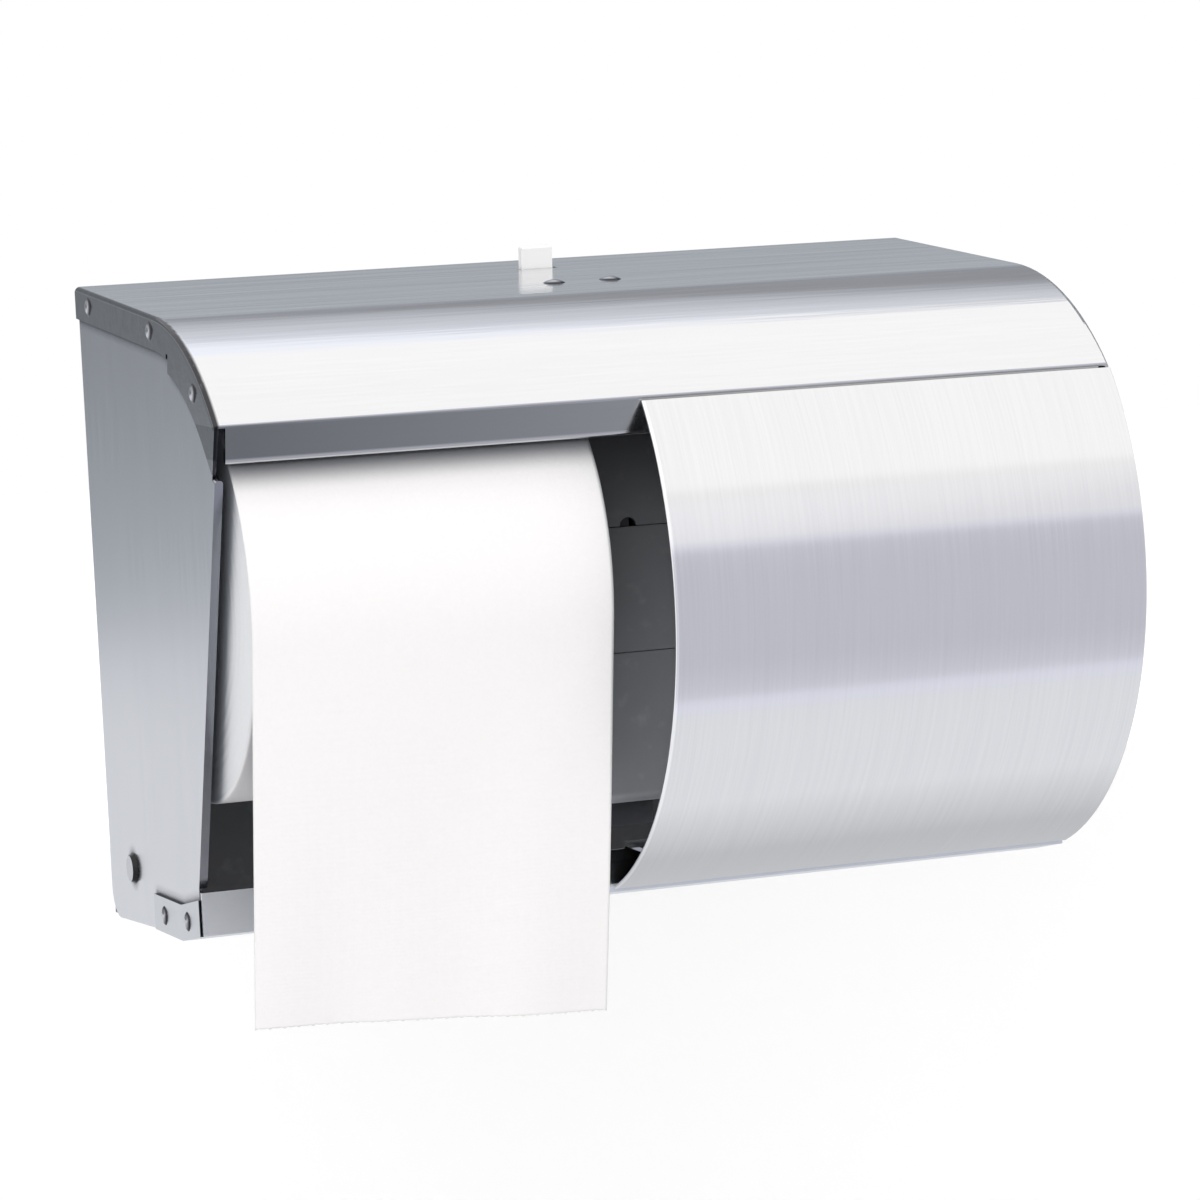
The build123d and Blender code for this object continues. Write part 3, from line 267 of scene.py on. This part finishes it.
def turned_steel(name, dark, pale, smooth, rough, rim_shade=None):
    """Small steel part: cloudy tone between dark and pale, pitted, with roughness from the same cloud.
    With a rim shade, that colour is painted shade on the faces turned away from both X and Z, the ways the
    heads point."""
    material, tree, shader, place = finish(name, Metallic=1.0)
    cloud = noise(tree, place, scale=900.0, detail=4.0)
    colour = mixed(tree, cloud, dark, pale)
    if rim_shade:
        turned = facing(tree)
        axial = maths(tree, "MAXIMUM", turned["X"], turned["Z"])
        colour = tinted(tree, falling(tree, axial, 0.84, 0.93), colour, rim_shade)
    worn = maths(tree, "ADD", cloud, use_group(tree, wipe_marks, Vector=place)["Speck"])
    wire(tree, shader, {
        "Base Color": colour,
        "Roughness": ranged(tree, worn, low=smooth, high=rough, start=0.3, end=1.2),
        "Normal": bumped(tree, worn, strength=0.2, distance=0.00008),
    })
    return material


zinc = turned_steel(
    "zinc_screw", dark=(0.46, 0.47, 0.48), pale=(0.66, 0.67, 0.69), smooth=0.24, rough=0.42
)
dress(zinc, "arm_screws", "post_screws", "strike_screws")


# Plungers: plastic noses that stand in the rolls' inner ends, a little glossier than the post because
# they are moulded in a harder, bearing grade. Behind each of them is a coil spring of plain wire, which in
# the real holder is pressed together as the plunger goes into the post; here each spring only gets a mesh
# of its own.
plunger_finish = moulded_plastic(
    "plunger_plastic", dark=(0.10, 0.10, 0.11), pale=(0.16, 0.16, 0.17),
    smooth=0.26, rough=0.45, depth=0.00005,
)
dress(plunger_finish, "left_plunger", "right_plunger")
spring_steel = turned_steel(
    "spring_steel", dark=(0.30, 0.30, 0.31), pale=(0.46, 0.46, 0.47), smooth=0.22, rough=0.38
)
dress(spring_steel, "left_plunger_spring", "right_plunger_spring")
for side, way in (("left", 1), ("right", -1)):
    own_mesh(nodes[f"{side}_plunger_spring"])


# Hood: one stainless sheet about a millimetre thick, brushed along its width before it is cut and folded.
# Its flanges are wrapped round both ends and riveted to the panels, and its front lip is folded back
# into the rail that the door hangs on.
brush_lines, brush_in, brush_out = effect_group("brush_lines", ("Lines", "Bands", "Height"))
fine_lines = noise(brush_lines, brush_in["Vector"], scale=1.0, detail=3.0)
broad_lines = noise(brush_lines, brush_in["Vector"], scale=0.09, detail=4.0, Roughness=0.65)
wire(brush_lines, brush_out, {
    "Lines": rising(brush_lines, fine_lines, 0.32, 0.68),
    "Bands": rising(brush_lines, broad_lines, 0.3, 0.7),
    "Height": fine_lines,
})


def brushed_sheet(name, stretch, axis, dark, pale, smooth, rough, depth, waviness, shade):
    """Brushed steel: grain noise stretched by the three scales, long reflections across it, and wipe marks
    over it. The bump has the fine lines and, by the waviness, broad shallow waves that run along them.
    The shade changes the colour by place."""
    material, tree, shader, place = finish(
        name, Metallic=1.0, Anisotropic=0.55, Anisotropic_Rotation=0.25
    )
    mapping = put(tree, "ShaderNodeMapping", {"Vector": place, "Scale": stretch})
    brush = use_group(tree, brush_lines, Vector=mapping.outputs[0])
    smear = use_group(tree, wipe_marks, Vector=place)["Smear"]
    tone = maths(tree, "MULTIPLY_ADD", brush["Bands"], 0.5, brush["Lines"])
    haze = maths(tree, "MULTIPLY_ADD", smear, 0.5, brush["Lines"])
    height = maths(tree, "MULTIPLY_ADD", brush["Bands"], waviness, brush["Height"])
    wire(tree, shader, {
        "Base Color": shade(tree, place, mixed(tree, rising(tree, tone, 0.1, 1.3), dark, pale)),
        "Roughness": ranged(tree, haze, low=smooth, high=rough, start=0.0, end=1.4),
        "Normal": bumped(tree, height, strength=1.0, distance=depth),
        "Tangent": put(tree, "ShaderNodeTangent", direction_type="RADIAL", axis=axis).outputs[0],
    })
    return material


def both(tree, first, second):
    """Share where two shares overlap."""
    return maths(tree, "MULTIPLY", first, second)


pin_standout = 0.001
hood_half_width = cad_high.x - pin_standout
end_bend_radius = 0.0017
lip_height, lip_blur = 0.0589, 0.0006
rail_foot_height = 0.0483
foot_low, foot_high = rail_foot_height + 0.0010, rail_foot_height + 0.0016
rail_fade_left, rail_fade_right = -0.12, 0.03
streak_front, streak_fade = -0.095, 0.02
line_blur = 0.0001


def hood_painted_shade(tree, place, colour):
    """Painted shade and painted dark reflections on the hood's folds: below the lip down to the rail's
    rolled foot, which keeps a lighter painted highlight, fading towards the right, on the flanges, and
    darkest as a painted dark line round the left end bend. Long faint streaks lie on the flat top."""
    where = axes(tree, place)
    under = falling(tree, where["Z"], lip_height - lip_blur, lip_height)
    foot = ranged(tree, where["Z"], low=0.45, high=1.0, start=foot_low, end=foot_high)
    faded = ranged(tree, where["X"], low=1.0, high=0.62, start=rail_fade_left, end=rail_fade_right)
    rail = both(tree, both(tree, under, foot), faded)
    wide = maths(tree, "ABSOLUTE", where["X"])
    flange = ranged(
        tree, wide, low=0.0, high=0.77,
        start=hood_half_width - 2 * line_blur, end=hood_half_width - line_blur,
    )
    colour = tinted(tree, maths(tree, "MAXIMUM", rail, flange), colour, (0.27, 0.285, 0.29))
    inside = rising(tree, where["X"], line_blur - hood_half_width, 2 * line_blur - hood_half_width)
    round_end = falling(
        tree, where["X"], 0.6 * end_bend_radius - hood_half_width, end_bend_radius - hood_half_width
    )
    colour = tinted(tree, both(tree, round_end, inside), colour, (0.08, 0.08, 0.085))
    stretched = put(tree, "ShaderNodeMapping", {"Vector": place, "Scale": (9.0, 300.0, 300.0)})
    streak = rising(tree, noise(tree, stretched.outputs[0], scale=1.0, detail=4.0), 0.42, 0.66)
    top = rising(tree, where["Y"], streak_front - streak_fade, streak_front)
    return tinted(tree, both(tree, top, streak), colour, (0.87, 0.875, 0.885))


hood_steel = brushed_sheet(
    "hood_steel", stretch=(45.0, 1500.0, 1500.0), axis="X",
    dark=(0.80, 0.80, 0.81), pale=(0.825, 0.825, 0.825), smooth=0.11, rough=0.16,
    depth=0.000004, waviness=12.0, shade=hood_painted_shade,
)
dress(hood_steel, "hood")


# Side panels: flat stainless sheets brushed upright, each with a rolled hem along its front edge.
# They are riveted under the hood's flanges and inside the bottom rail's tabs.
def panel_painted_shade(tree, place, colour):
    """Panel sheet: painted shade where the rolled front hem looks forward, and a painted dark line of shade
    in the corner under an overlapping sheet."""
    hem = rising(tree, facing(tree)["Y"], 0.5, 0.9)
    colour = tinted(tree, hem, colour, (0.42, 0.43, 0.46))
    return shaded(tree, colour, reach=0.003, closed=0.84, clear=0.95, tint=(0.10, 0.10, 0.11))


panel_steel = brushed_sheet(
    "panel_steel", stretch=(30.0, 1900.0, 30.0), axis="Z",
    dark=(0.64, 0.645, 0.67), pale=(0.69, 0.69, 0.715), smooth=0.20, rough=0.27,
    depth=0.000004, waviness=0.5, shade=panel_painted_shade,
)
dress(panel_steel, "left_side_panel", "right_side_panel")


# Bottom rail: a folded stainless channel between the panels, brushed along its length.
# Its ends are cut and bent back into tabs that lie outside the panels and are riveted through them.
tab_thickness = 0.001
tab_inside = hood_half_width - tab_thickness
tab_front = -0.1012


def rail_painted_shade(tree, place, colour):
    """Rail sheet: darker tabs outside the panels, painted shade as dark lines on the cut edges where the
    tabs look forward, and painted shade where other sheets lie close."""
    where = axes(tree, place)
    wide = maths(tree, "ABSOLUTE", where["X"])
    outside = rising(tree, wide, tab_inside - line_blur, tab_inside + line_blur)
    tab = both(tree, outside, rising(tree, where["Y"], tab_front, tab_front + 2 * line_blur))
    colour = tinted(tree, tab, colour, (0.71, 0.70, 0.69))
    edge = both(tree, tab, rising(tree, facing(tree)["Y"], 0.6, 0.8))
    colour = tinted(tree, edge, colour, (0.12, 0.12, 0.13))
    return shaded(tree, colour, reach=0.010, closed=0.55, clear=0.95, tint=(0.50, 0.48, 0.46))


rail_steel = brushed_sheet(
    "rail_steel", stretch=(45.0, 1500.0, 1500.0), axis="X",
    dark=(0.82, 0.855, 0.90), pale=(0.87, 0.90, 0.94), smooth=0.16, rough=0.24,
    depth=0.000005, waviness=1.0, shade=rail_painted_shade,
)
dress(rail_steel, "bottom_rail")


# Door: a stainless sheet rolled to a curve and brushed round it, with folded clips that hook over the
# hood's rail above and the bottom rail below. It slides sideways on them.
door_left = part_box("door_panel")[0].x
door_middle = (0.0, -0.07, 0.0)
across_door = (0, 1, 1)
highlight_edge, highlight_fade = door_left + 0.0006, door_left + 0.0011


def door_painted_light(tree, place, colour):
    """Door sheet: painted shade on the hollow side, where the normal looks towards the curve's middle line,
    and a painted highlight along the edge at its free end."""
    away = put(tree, "ShaderNodeVectorMath", {0: place, 1: door_middle}, operation="SUBTRACT")
    out = put(tree, "ShaderNodeVectorMath", {0: away.outputs[0], 1: across_door}, operation="MULTIPLY")
    normal = put(tree, "ShaderNodeTexCoord").outputs["Normal"]
    turned = put(tree, "ShaderNodeVectorMath", {0: out.outputs[0], 1: normal}, operation="DOT_PRODUCT")
    hollow = falling(tree, turned.outputs["Value"], -0.03, -0.01)
    colour = tinted(tree, hollow, colour, (0.30, 0.30, 0.31))
    edge = falling(tree, axes(tree, place)["X"], highlight_edge, highlight_fade)
    return mixed(tree, edge, colour, (0.98, 0.98, 0.98))


door_steel = brushed_sheet(
    "door_steel", stretch=(1700.0, 25.0, 25.0), axis="X",
    dark=(0.786, 0.786, 0.796), pale=(0.824, 0.824, 0.829), smooth=0.12, rough=0.17,
    depth=0.000001, waviness=0.5, shade=door_painted_light,
)
dress(door_steel, "door_panel", "upper_guides", "lower_guides")


# Rivets and hinge pins: domed steel rivets that hold the housing's sheets together, and shouldered steel
# pins that it turns on. Each head has painted shade, a dark ring round its rim.
rivet_steel = turned_steel(
    "rivet_steel", dark=(0.50, 0.50, 0.52), pale=(0.72, 0.72, 0.74),
    smooth=0.10, rough=0.24, rim_shade=(0.08, 0.08, 0.09),
)
dress(rivet_steel, "hood_rivets", "rail_rivets", "lock_rivets")
pin_steel = turned_steel(
    "pin_steel", dark=(0.48, 0.48, 0.50), pale=(0.64, 0.64, 0.66),
    smooth=0.22, rough=0.40, rim_shade=(0.07, 0.07, 0.07),
)
dress(pin_steel, "hinge_pins")


# Lock and strike: plated sheet and pins under the hood, duller than the brushed steel outside.
# The bracket is riveted to the hood and carries the hook on a pin, with a wire spring behind it; the
# strike is screwed to the wall plate.
lock_steel = turned_steel(
    "lock_steel", dark=(0.38, 0.38, 0.39), pale=(0.55, 0.55, 0.55), smooth=0.28, rough=0.46
)
dress(lock_steel, "latch_bracket", "latch_pin", "latch_lever", "latch_strike")
dress(spring_steel, "latch_spring")


# Lock key: a flat white blade of natural nylon, moulded in one piece.
# It stands up through the slot in the hood and rests on the hook.
key_finish = moulded_plastic(
    "key_plastic", dark=(0.86, 0.86, 0.86), pale=(0.94, 0.94, 0.945), smooth=0.30, rough=0.48, depth=0.00004
)
dress(key_finish, "lock_key")


# Paper rolls: coreless rolls of two-ply tissue, wound tight, with slightly uneven ends where the
# log was sawn. They turn on a peg at the outer end and on a plunger at the inner end.
roll_radius = 0.0567
roll_bore = 0.0066
roll_edge = 0.0011
roll_axis = (-0.0899, 0.0101)
slow_swell, quick_swell = 0.00003, 0.00002
layer_ripple, saw_ripple = 0.00012, 0.0001
turn_steps, end_steps, face_steps, edge_steps, bore_steps = 240, 46, 60, 7, 12


def grid_mesh(name, points, close_u, close_v, uv=None):
    """Mesh of quads on a (rows, columns, 3) grid of points, with their flat places as UVs where given.
    A closed direction joins its last line to its first."""
    rows, columns = points.shape[:2]
    index = np.arange(rows * columns).reshape(rows, columns)
    if close_u:
        index = np.vstack([index, index[:1]])
    if close_v:
        index = np.hstack([index, index[:, :1]])
    corners = [index[:-1, :-1], index[1:, :-1], index[1:, 1:], index[:-1, 1:]]
    quads = np.stack(corners, axis=-1).reshape(-1, 4)
    mesh = bpy.data.meshes.new(name)
    mesh.from_pydata(points.reshape(-1, 3).tolist(), [], quads.tolist())
    if uv is not None:
        layer = mesh.uv_layers.new(name="sheet")
        layer.data.foreach_set("uv", uv.reshape(-1, 2)[quads.ravel()].astype(np.float32).ravel())
    mesh.polygons.foreach_set("use_smooth", np.ones(len(mesh.polygons), bool))
    piece = bpy.data.objects.new(name, mesh)
    bpy.context.scene.collection.objects.link(piece)
    return piece


def tissue_roll(name, start, end, phase):
    """Roll about an axis along X: a closed profile of end, face, end and bore, turned through a full circle.
    The face swells by some hundredths of a millimetre in slow waves, and the ends ripple with the radius."""
    turns = np.linspace(0, 2 * np.pi, turn_steps, endpoint=False)[:, None]
    bend = np.linspace(0, np.pi / 2, edge_steps)
    ring = np.linspace(roll_bore, roll_radius - roll_edge, end_steps)
    face = np.linspace(start + roll_edge, end - roll_edge, face_steps)
    side, rise = roll_edge * np.cos(bend)[1:-1], roll_edge * np.sin(bend)[1:-1]
    back = np.linspace(end, start, bore_steps)[1:-1]
    along = np.concatenate([
        np.full_like(ring, start), start + roll_edge - side, face, end - roll_edge + rise,
        np.full_like(ring, end), back,
    ])
    shoulder = roll_radius - roll_edge
    out = np.concatenate([
        ring, shoulder + rise, np.full_like(face, roll_radius), shoulder + side,
        ring[::-1], np.full_like(back, roll_bore),
    ])
    slow = slow_swell * np.sin(3 * turns + phase + 60 * along)
    swell = slow + quick_swell * np.sin(7 * turns - 95 * along)
    radius = out + np.where(out > roll_radius - 2 * roll_edge, swell, 0.0)
    way = np.sign(along - (start + end) / 2)
    sawn = np.isclose(along, start) | np.isclose(along, end)
    layers = layer_ripple * np.sin(1900 * out + 2 * np.sin(2 * turns + phase))
    ripple = np.abs(layers + saw_ripple * np.sin(5 * turns + 300 * out))
    x = along - way * np.where(sawn & (out > 1.1 * roll_bore), ripple, 0.0)
    y = roll_axis[0] - radius * np.cos(turns)
    z = roll_axis[1] + radius * np.sin(turns)
    return grid_mesh(name, np.stack([x, y, z], axis=-1), True, True)


def tissue(name, tone, shade):
    """Tissue: soft fibres and small embossed dimples over the face, and wound layers as rings about the
    roll's axis. The sawn ends carry painted shade, and so does the paper that lies close under other pieces."""
    material, tree, shader, place = finish(name, Specular_IOR_Level=0.12, Sheen_Weight=0.15)
    fibre = noise(tree, place, scale=900.0, detail=7.0, Roughness=0.7)
    dimple = put(tree, "ShaderNodeTexVoronoi", {"Vector": place, "Scale": 310.0, "Randomness": 0.35})
    centre = (0.0, -roll_axis[0], -roll_axis[1])
    centred = put(tree, "ShaderNodeMapping", {"Vector": place, "Location": centre}).outputs[0]
    winding = {"Vector": centred, "Scale": 330.0, "Distortion": 2.5, "Detail": 3.0, "Detail Scale": 0.6}
    layers = put(tree, "ShaderNodeTexWave", winding, wave_type="RINGS", rings_direction="X")
    colour = mixed(tree, fibre, shade, tone)
    # Painted shade on the roll's ends.
    sawn = rising(tree, facing(tree)["X"], 0.6, 0.9)
    colour = tinted(tree, sawn, colour, (0.825, 0.86, 0.885))
    colour = shaded(tree, colour, reach=0.055, closed=0.25, clear=0.88, tint=(0.36, 0.38, 0.42))
    soft = maths(tree, "ADD", fibre, dimple.outputs["Distance"])
    height = maths(tree, "MULTIPLY_ADD", layers.outputs["Fac"], 0.35, soft)
    wire(tree, shader, {
        "Base Color": colour,
        "Roughness": ranged(tree, fibre, low=0.82, high=0.98, start=0.0, end=1.0),
        "Normal": bumped(tree, height, strength=0.22, distance=0.00025),
    })
    return material


tissue_finish = tissue("tissue", tone=(0.872, 0.857, 0.859), shade=(0.818, 0.804, 0.806))
for name, phase in (("left_roll", 0.4), ("right_roll", 2.1)):
    roll_low, roll_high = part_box(name)
    roll = tissue_roll(f"{name}_paper", roll_low.x, roll_high.x, phase)
    roll.data.materials.append(tissue_finish)
    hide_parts(name)
    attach(roll, name)


# Paper tail: the loose end of the left roll. It leaves the roll's front, hangs almost straight and ends
# just below the housing in a row of torn perforations that runs a little on the slant.
tail_low, tail_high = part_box("paper_tail")
ply_thickness = 0.00012
tail_radius = 0.0574
tail_clearance = 0.00013
tail_lift = tail_radius - roll_radius - tail_clearance
tail_lean = np.radians(9.0)
tail_start = np.radians(-42.0)
tail_slant = 0.0064
tail_shortfall = 0.0016
tail_overhang = 0.0006
tail_sway = 0.0008
slow_wave, quick_wave = 0.0011, 0.0007
tear_depth = 0.0004
tear_count = 48
tear_row = 0.995
tail_columns, wrapped_rows, hanging_rows = 121, 30, 120


def hanging_sheet(name):
    """Sheet carried along a path: an arc that lifts off the roll from the start angle to the leaning angle,
    then a straight run down. Waves across the width grow with the distance below the roll, and the last row
    is scalloped. Returns the piece, its flat width, longest length and area, and its upper end's place."""
    across = np.linspace(0, 1, tail_columns)[None, :]
    arc_share = np.linspace(0, 1, wrapped_rows, endpoint=False)
    wrapped = np.concatenate([arc_share, np.ones(hanging_rows)])[:, None]
    share = np.concatenate([np.zeros(wrapped_rows), np.linspace(0, 1, hanging_rows)])[:, None]
    width = tail_high.x - tail_low.x
    radius = tail_radius - tail_lift * (1 - wrapped)
    arc = (tail_radius - tail_lift / 2) * (tail_lean - tail_start)
    leave_height = roll_axis[1] - tail_radius * np.sin(tail_lean)
    foot_height = tail_low.z + tear_depth + tail_shortfall + tail_slant * (1 - across)
    run = (leave_height - foot_height) / np.cos(tail_lean)
    tear = np.where(share > tear_row, tear_depth * np.abs(np.sin(tear_count * np.pi * across)), 0.0)
    below = share * run - tear
    angle = tail_start + (tail_lean - tail_start) * wrapped
    slow = slow_wave * share * np.sin(7.5 * across + 2.0 * share)
    wave = slow + quick_wave * share**2 * np.sin(17.0 * across + 1.0)
    x = tail_low.x - tail_overhang + width * across - tail_sway * share
    y = roll_axis[0] - radius * np.cos(angle) + below * np.sin(tail_lean) - wave
    z = roll_axis[1] - radius * np.sin(angle) - below * np.cos(tail_lean)
    points = np.stack(np.broadcast_arrays(x, y, z), axis=-1)
    uv = np.stack(np.broadcast_arrays(width * across, arc * wrapped + below), axis=-1)
    flat = (width, arc + run.max(), width * (arc + run.mean()))
    return grid_mesh(name, points, False, False, uv), flat, points[0, tail_columns // 2]


tail, (tail_width, tail_length, tail_area), tail_top = hanging_sheet("left_tail_paper")
tail.data.materials.append(tissue_finish)
ply = tail.modifiers.new("two_ply", "SOLIDIFY")
ply.thickness = ply_thickness
ply.offset = 0.0
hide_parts("paper_tail")
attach(tail, "wall_base")
tuple(tail_top)
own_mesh(tail)


# Studio: a white floor with a step behind the object, and glowing cards round it that only show in
# reflections. A large overhead softbox, a smaller one in front and an even room give the light, and the
# background is plain white.
def studio_plane(name, corner, across, up):
    """Flat rectangle from a corner along two edges."""
    corner, across, up = (np.array(v, float) for v in (corner, across, up))
    u, v = np.meshgrid(np.linspace(0, 1, 2), np.linspace(0, 1, 2), indexing="ij")
    plane = grid_mesh(name, corner + u[..., None] * across + v[..., None] * up, False, False)
    return plane


def card(name, corner, across, up, paint):
    """Card that glows in the colour that paint gives for each place on it, and only shows in reflections."""
    plane = studio_plane(name, corner, across, up)
    plane.visible_camera = False
    plane.visible_shadow = False
    plane.visible_diffuse = False
    material = bpy.data.materials.new(name)
    material.use_nodes = True
    tree = material.node_tree
    tree.nodes.clear()
    where = axes(tree, put(tree, "ShaderNodeTexCoord").outputs["Object"])
    glow = put(tree, "ShaderNodeEmission", {"Color": paint(tree, where), "Strength": 1.0})
    put(tree, "ShaderNodeOutputMaterial", {"Surface": glow.outputs[0]})
    plane.data.materials.append(material)


def by_height(tint, levels, lean=0.0):
    """Paint by height: levels are (height, brightness) pairs joined by a straight ramp, times a tint.
    With a lean, the height is measured from a line that rises by that share of X."""
    def paint(tree, where):
        height = maths(tree, "MULTIPLY_ADD", where["X"], -lean, where["Z"])
        first, last = levels[0][0], levels[-1][0]
        ramp = put(tree, "ShaderNodeValToRGB", {"Fac": rising(tree, height, first, last)})
        while len(ramp.color_ramp.elements) < len(levels):
            ramp.color_ramp.elements.new(0.5)
        for element, (level_height, level) in zip(ramp.color_ramp.elements, levels):
            element.position = (level_height - first) / (last - first)
            element.color = (*(level * np.array(tint)), 1)
        return ramp.outputs["Color"]
    return paint


card("front_card", (-3.0, -2.4, -3.3), (6.0, 0, 0), (0, 0, 3.92), by_height((0.96, 0.97, 1.08), [
    (-3.3, 0.90), (-2.05, 0.88), (-1.93, 0.73), (-1.2, 0.65), (0.1, 0.635), (0.48, 0.66), (0.58, 0.86),
    (0.62, 0.90),
]))
card("front_upper_card", (-3.0, -2.4, 0.62), (6.0, 0, 0), (0, 0, 0.68), by_height((0.975, 0.975, 1.0), [
    (-0.42, 0.91), (-0.29, 1.0), (0.2, 1.05),
], lean=1.03))
card("back_card", (-4.0, 2.4, -1.2), (8.0, 0, 0), (0, 0, 2.25), by_height((0.94, 1.0, 1.08), [
    (-1.2, 0.60), (-0.30, 0.56), (-0.05, 0.30), (0.35, 0.32), (0.50, 0.38), (0.64, 0.53), (0.78, 0.47),
    (1.05, 0.30),
]))
card("upper_card", (-0.5, 2.4, 1.05), (6.5, 0, 0), (0, 0, 7.5), by_height((0.95, 0.98, 1.06), [
    (-1.5, 0.30), (-0.1, 0.34), (0.25, 0.33), (0.48, 0.34), (0.80, 0.52), (0.98, 0.62), (1.7, 0.76),
    (2.0, 0.82), (2.15, 1.04), (2.7, 1.10),
], lean=1.0))
card("overhead_card", (-3.0, -3.0, 1.95), (6.0, 0, 0), (0, 4.0, 0), by_height((1.0, 0.99, 0.99), [
    (0.0, 1.13), (3.0, 1.13),
]))

table_gap = 0.0005
table_height = cad_low.z - table_gap
shade_middle = -0.06
shade_inner, shade_outer = 0.04, 0.085


def table_shade(tree, where):
    """Paint of a pale table with the object's own soft shade along it, under the housing."""
    away = maths(tree, "ABSOLUTE", maths(tree, "SUBTRACT", where["Y"], shade_middle))
    return mixed(
        tree, rising(tree, away, shade_inner, shade_outer), (0.595, 0.605, 0.63), (0.85, 0.868, 0.90)
    )


card("table_card", (-1.8, -0.235, table_height), (3.6, 0, 0), (0, 1.1, 0), table_shade)


def white_board(name, strength):
    """White painted board. The camera sees it lifted by an even glow, so that only the object's shadow
    stays below plain white."""
    material, tree, shader, place = finish(name, Roughness=0.9)
    tooth = noise(tree, place, scale=240.0, detail=4.0)
    wire(tree, shader, {"Base Color": mixed(tree, tooth, (0.80, 0.80, 0.80), (0.82, 0.82, 0.82))})
    lift = put(tree, "ShaderNodeEmission", {"Strength": strength})
    lit = put(tree, "ShaderNodeAddShader", {0: shader.outputs[0], 1: lift.outputs[0]})
    seen = put(tree, "ShaderNodeLightPath").outputs["Is Camera Ray"]
    choice = put(tree, "ShaderNodeMixShader", {0: seen, 1: shader.outputs[0], 2: lit.outputs[0]})
    wire(tree, tree.nodes["Material Output"], {"Surface": choice.outputs[0]})
    return material


floor_height = -0.30
floor_length = 1.65
step_depth = 0.25
shelf_length = 1.5
for name, front, height, up, strength in (
    ("floor", step_depth - floor_length, floor_height, (0, floor_length, 0), 0.21),
    ("floor_step", step_depth, floor_height, (0, 0, table_height - floor_height), 0.21),
    ("floor_shelf", step_depth, table_height, (0, shelf_length, 0), 0.34),
):
    floor = studio_plane(name, (-1.5, front, height), (3.0, 0, 0), up)
    floor.visible_glossy = False
    floor.data.materials.append(white_board(name, strength))

world = bpy.data.worlds.new("studio")
world.use_nodes = True
bpy.context.scene.world = world
sky = world.node_tree
room = sky.nodes["Background"]
room.inputs["Color"].default_value = (1.0, 0.995, 0.99, 1)
room.inputs["Strength"].default_value = 0.82
white = put(sky, "ShaderNodeBackground", {"Color": (1, 1, 1, 1), "Strength": 1.0})
rays = put(sky, "ShaderNodeLightPath").outputs
direct = maths(sky, "MAXIMUM", rays["Is Camera Ray"], rays["Is Glossy Ray"])
background = maths(sky, "MAXIMUM", direct, rays["Is Transmission Ray"])
choice = put(sky, "ShaderNodeMixShader", {0: background, 1: room.outputs[0], 2: white.outputs[0]})
wire(sky, sky.nodes["World Output"], {"Surface": choice.outputs[0]})


def placed(right, up, back, place):
    """Matrix of a lamp or a camera from its three directions and its place."""
    return Matrix([*(list(row) for row in np.stack([right, up, back, place], axis=1)), [0, 0, 0, 1]])


def softbox(name, place, target, width, height, power):
    """Area light at a place, turned to face a target."""
    light = bpy.data.lights.new(name, "AREA")
    light.shape = "RECTANGLE"
    light.size, light.size_y = width, height
    light.energy = power
    lamp = bpy.data.objects.new(name, light)
    back = np.array(place) - np.array(target)
    back /= np.linalg.norm(back)
    right = np.cross((0, 0, 1), back)
    right /= np.linalg.norm(right)
    lamp.matrix_world = placed(right, np.cross(back, right), back, place)
    lamp.visible_camera = False
    lamp.visible_glossy = False
    bpy.context.scene.collection.objects.link(lamp)


housing_middle = (0.0, -0.07, 0.0)
softbox("overhead_softbox", (-0.1, -0.5, 1.9), housing_middle, width=2.8, height=2.3, power=20.0)
softbox("front_softbox", (-1.3, -2.1, 0.8), housing_middle, width=1.4, height=1.4, power=15.0)


# Camera: a long lens, a little to the left of the object and just above it.
# Its place and its three directions were fitted to the housing's straight edges.
camera_place = (-0.45594, -1.32487, 0.14209)
camera_right = (0.93670, -0.34700, -0.04661)
camera_up = (0.08103, 0.08538, 0.99305)
camera_back = (-0.34061, -0.93397, 0.10809)
lens = bpy.data.cameras.new("photo_camera")
lens.sensor_width = 36.0
lens.lens = 142.61
lens.clip_end = 50.0
camera = bpy.data.objects.new("photo_camera", lens)
camera.matrix_world = placed(camera_right, camera_up, camera_back, camera_place)
bpy.context.scene.collection.objects.link(camera)
bpy.context.scene.camera = camera
bpy.context.scene.view_settings.view_transform = "Standard"
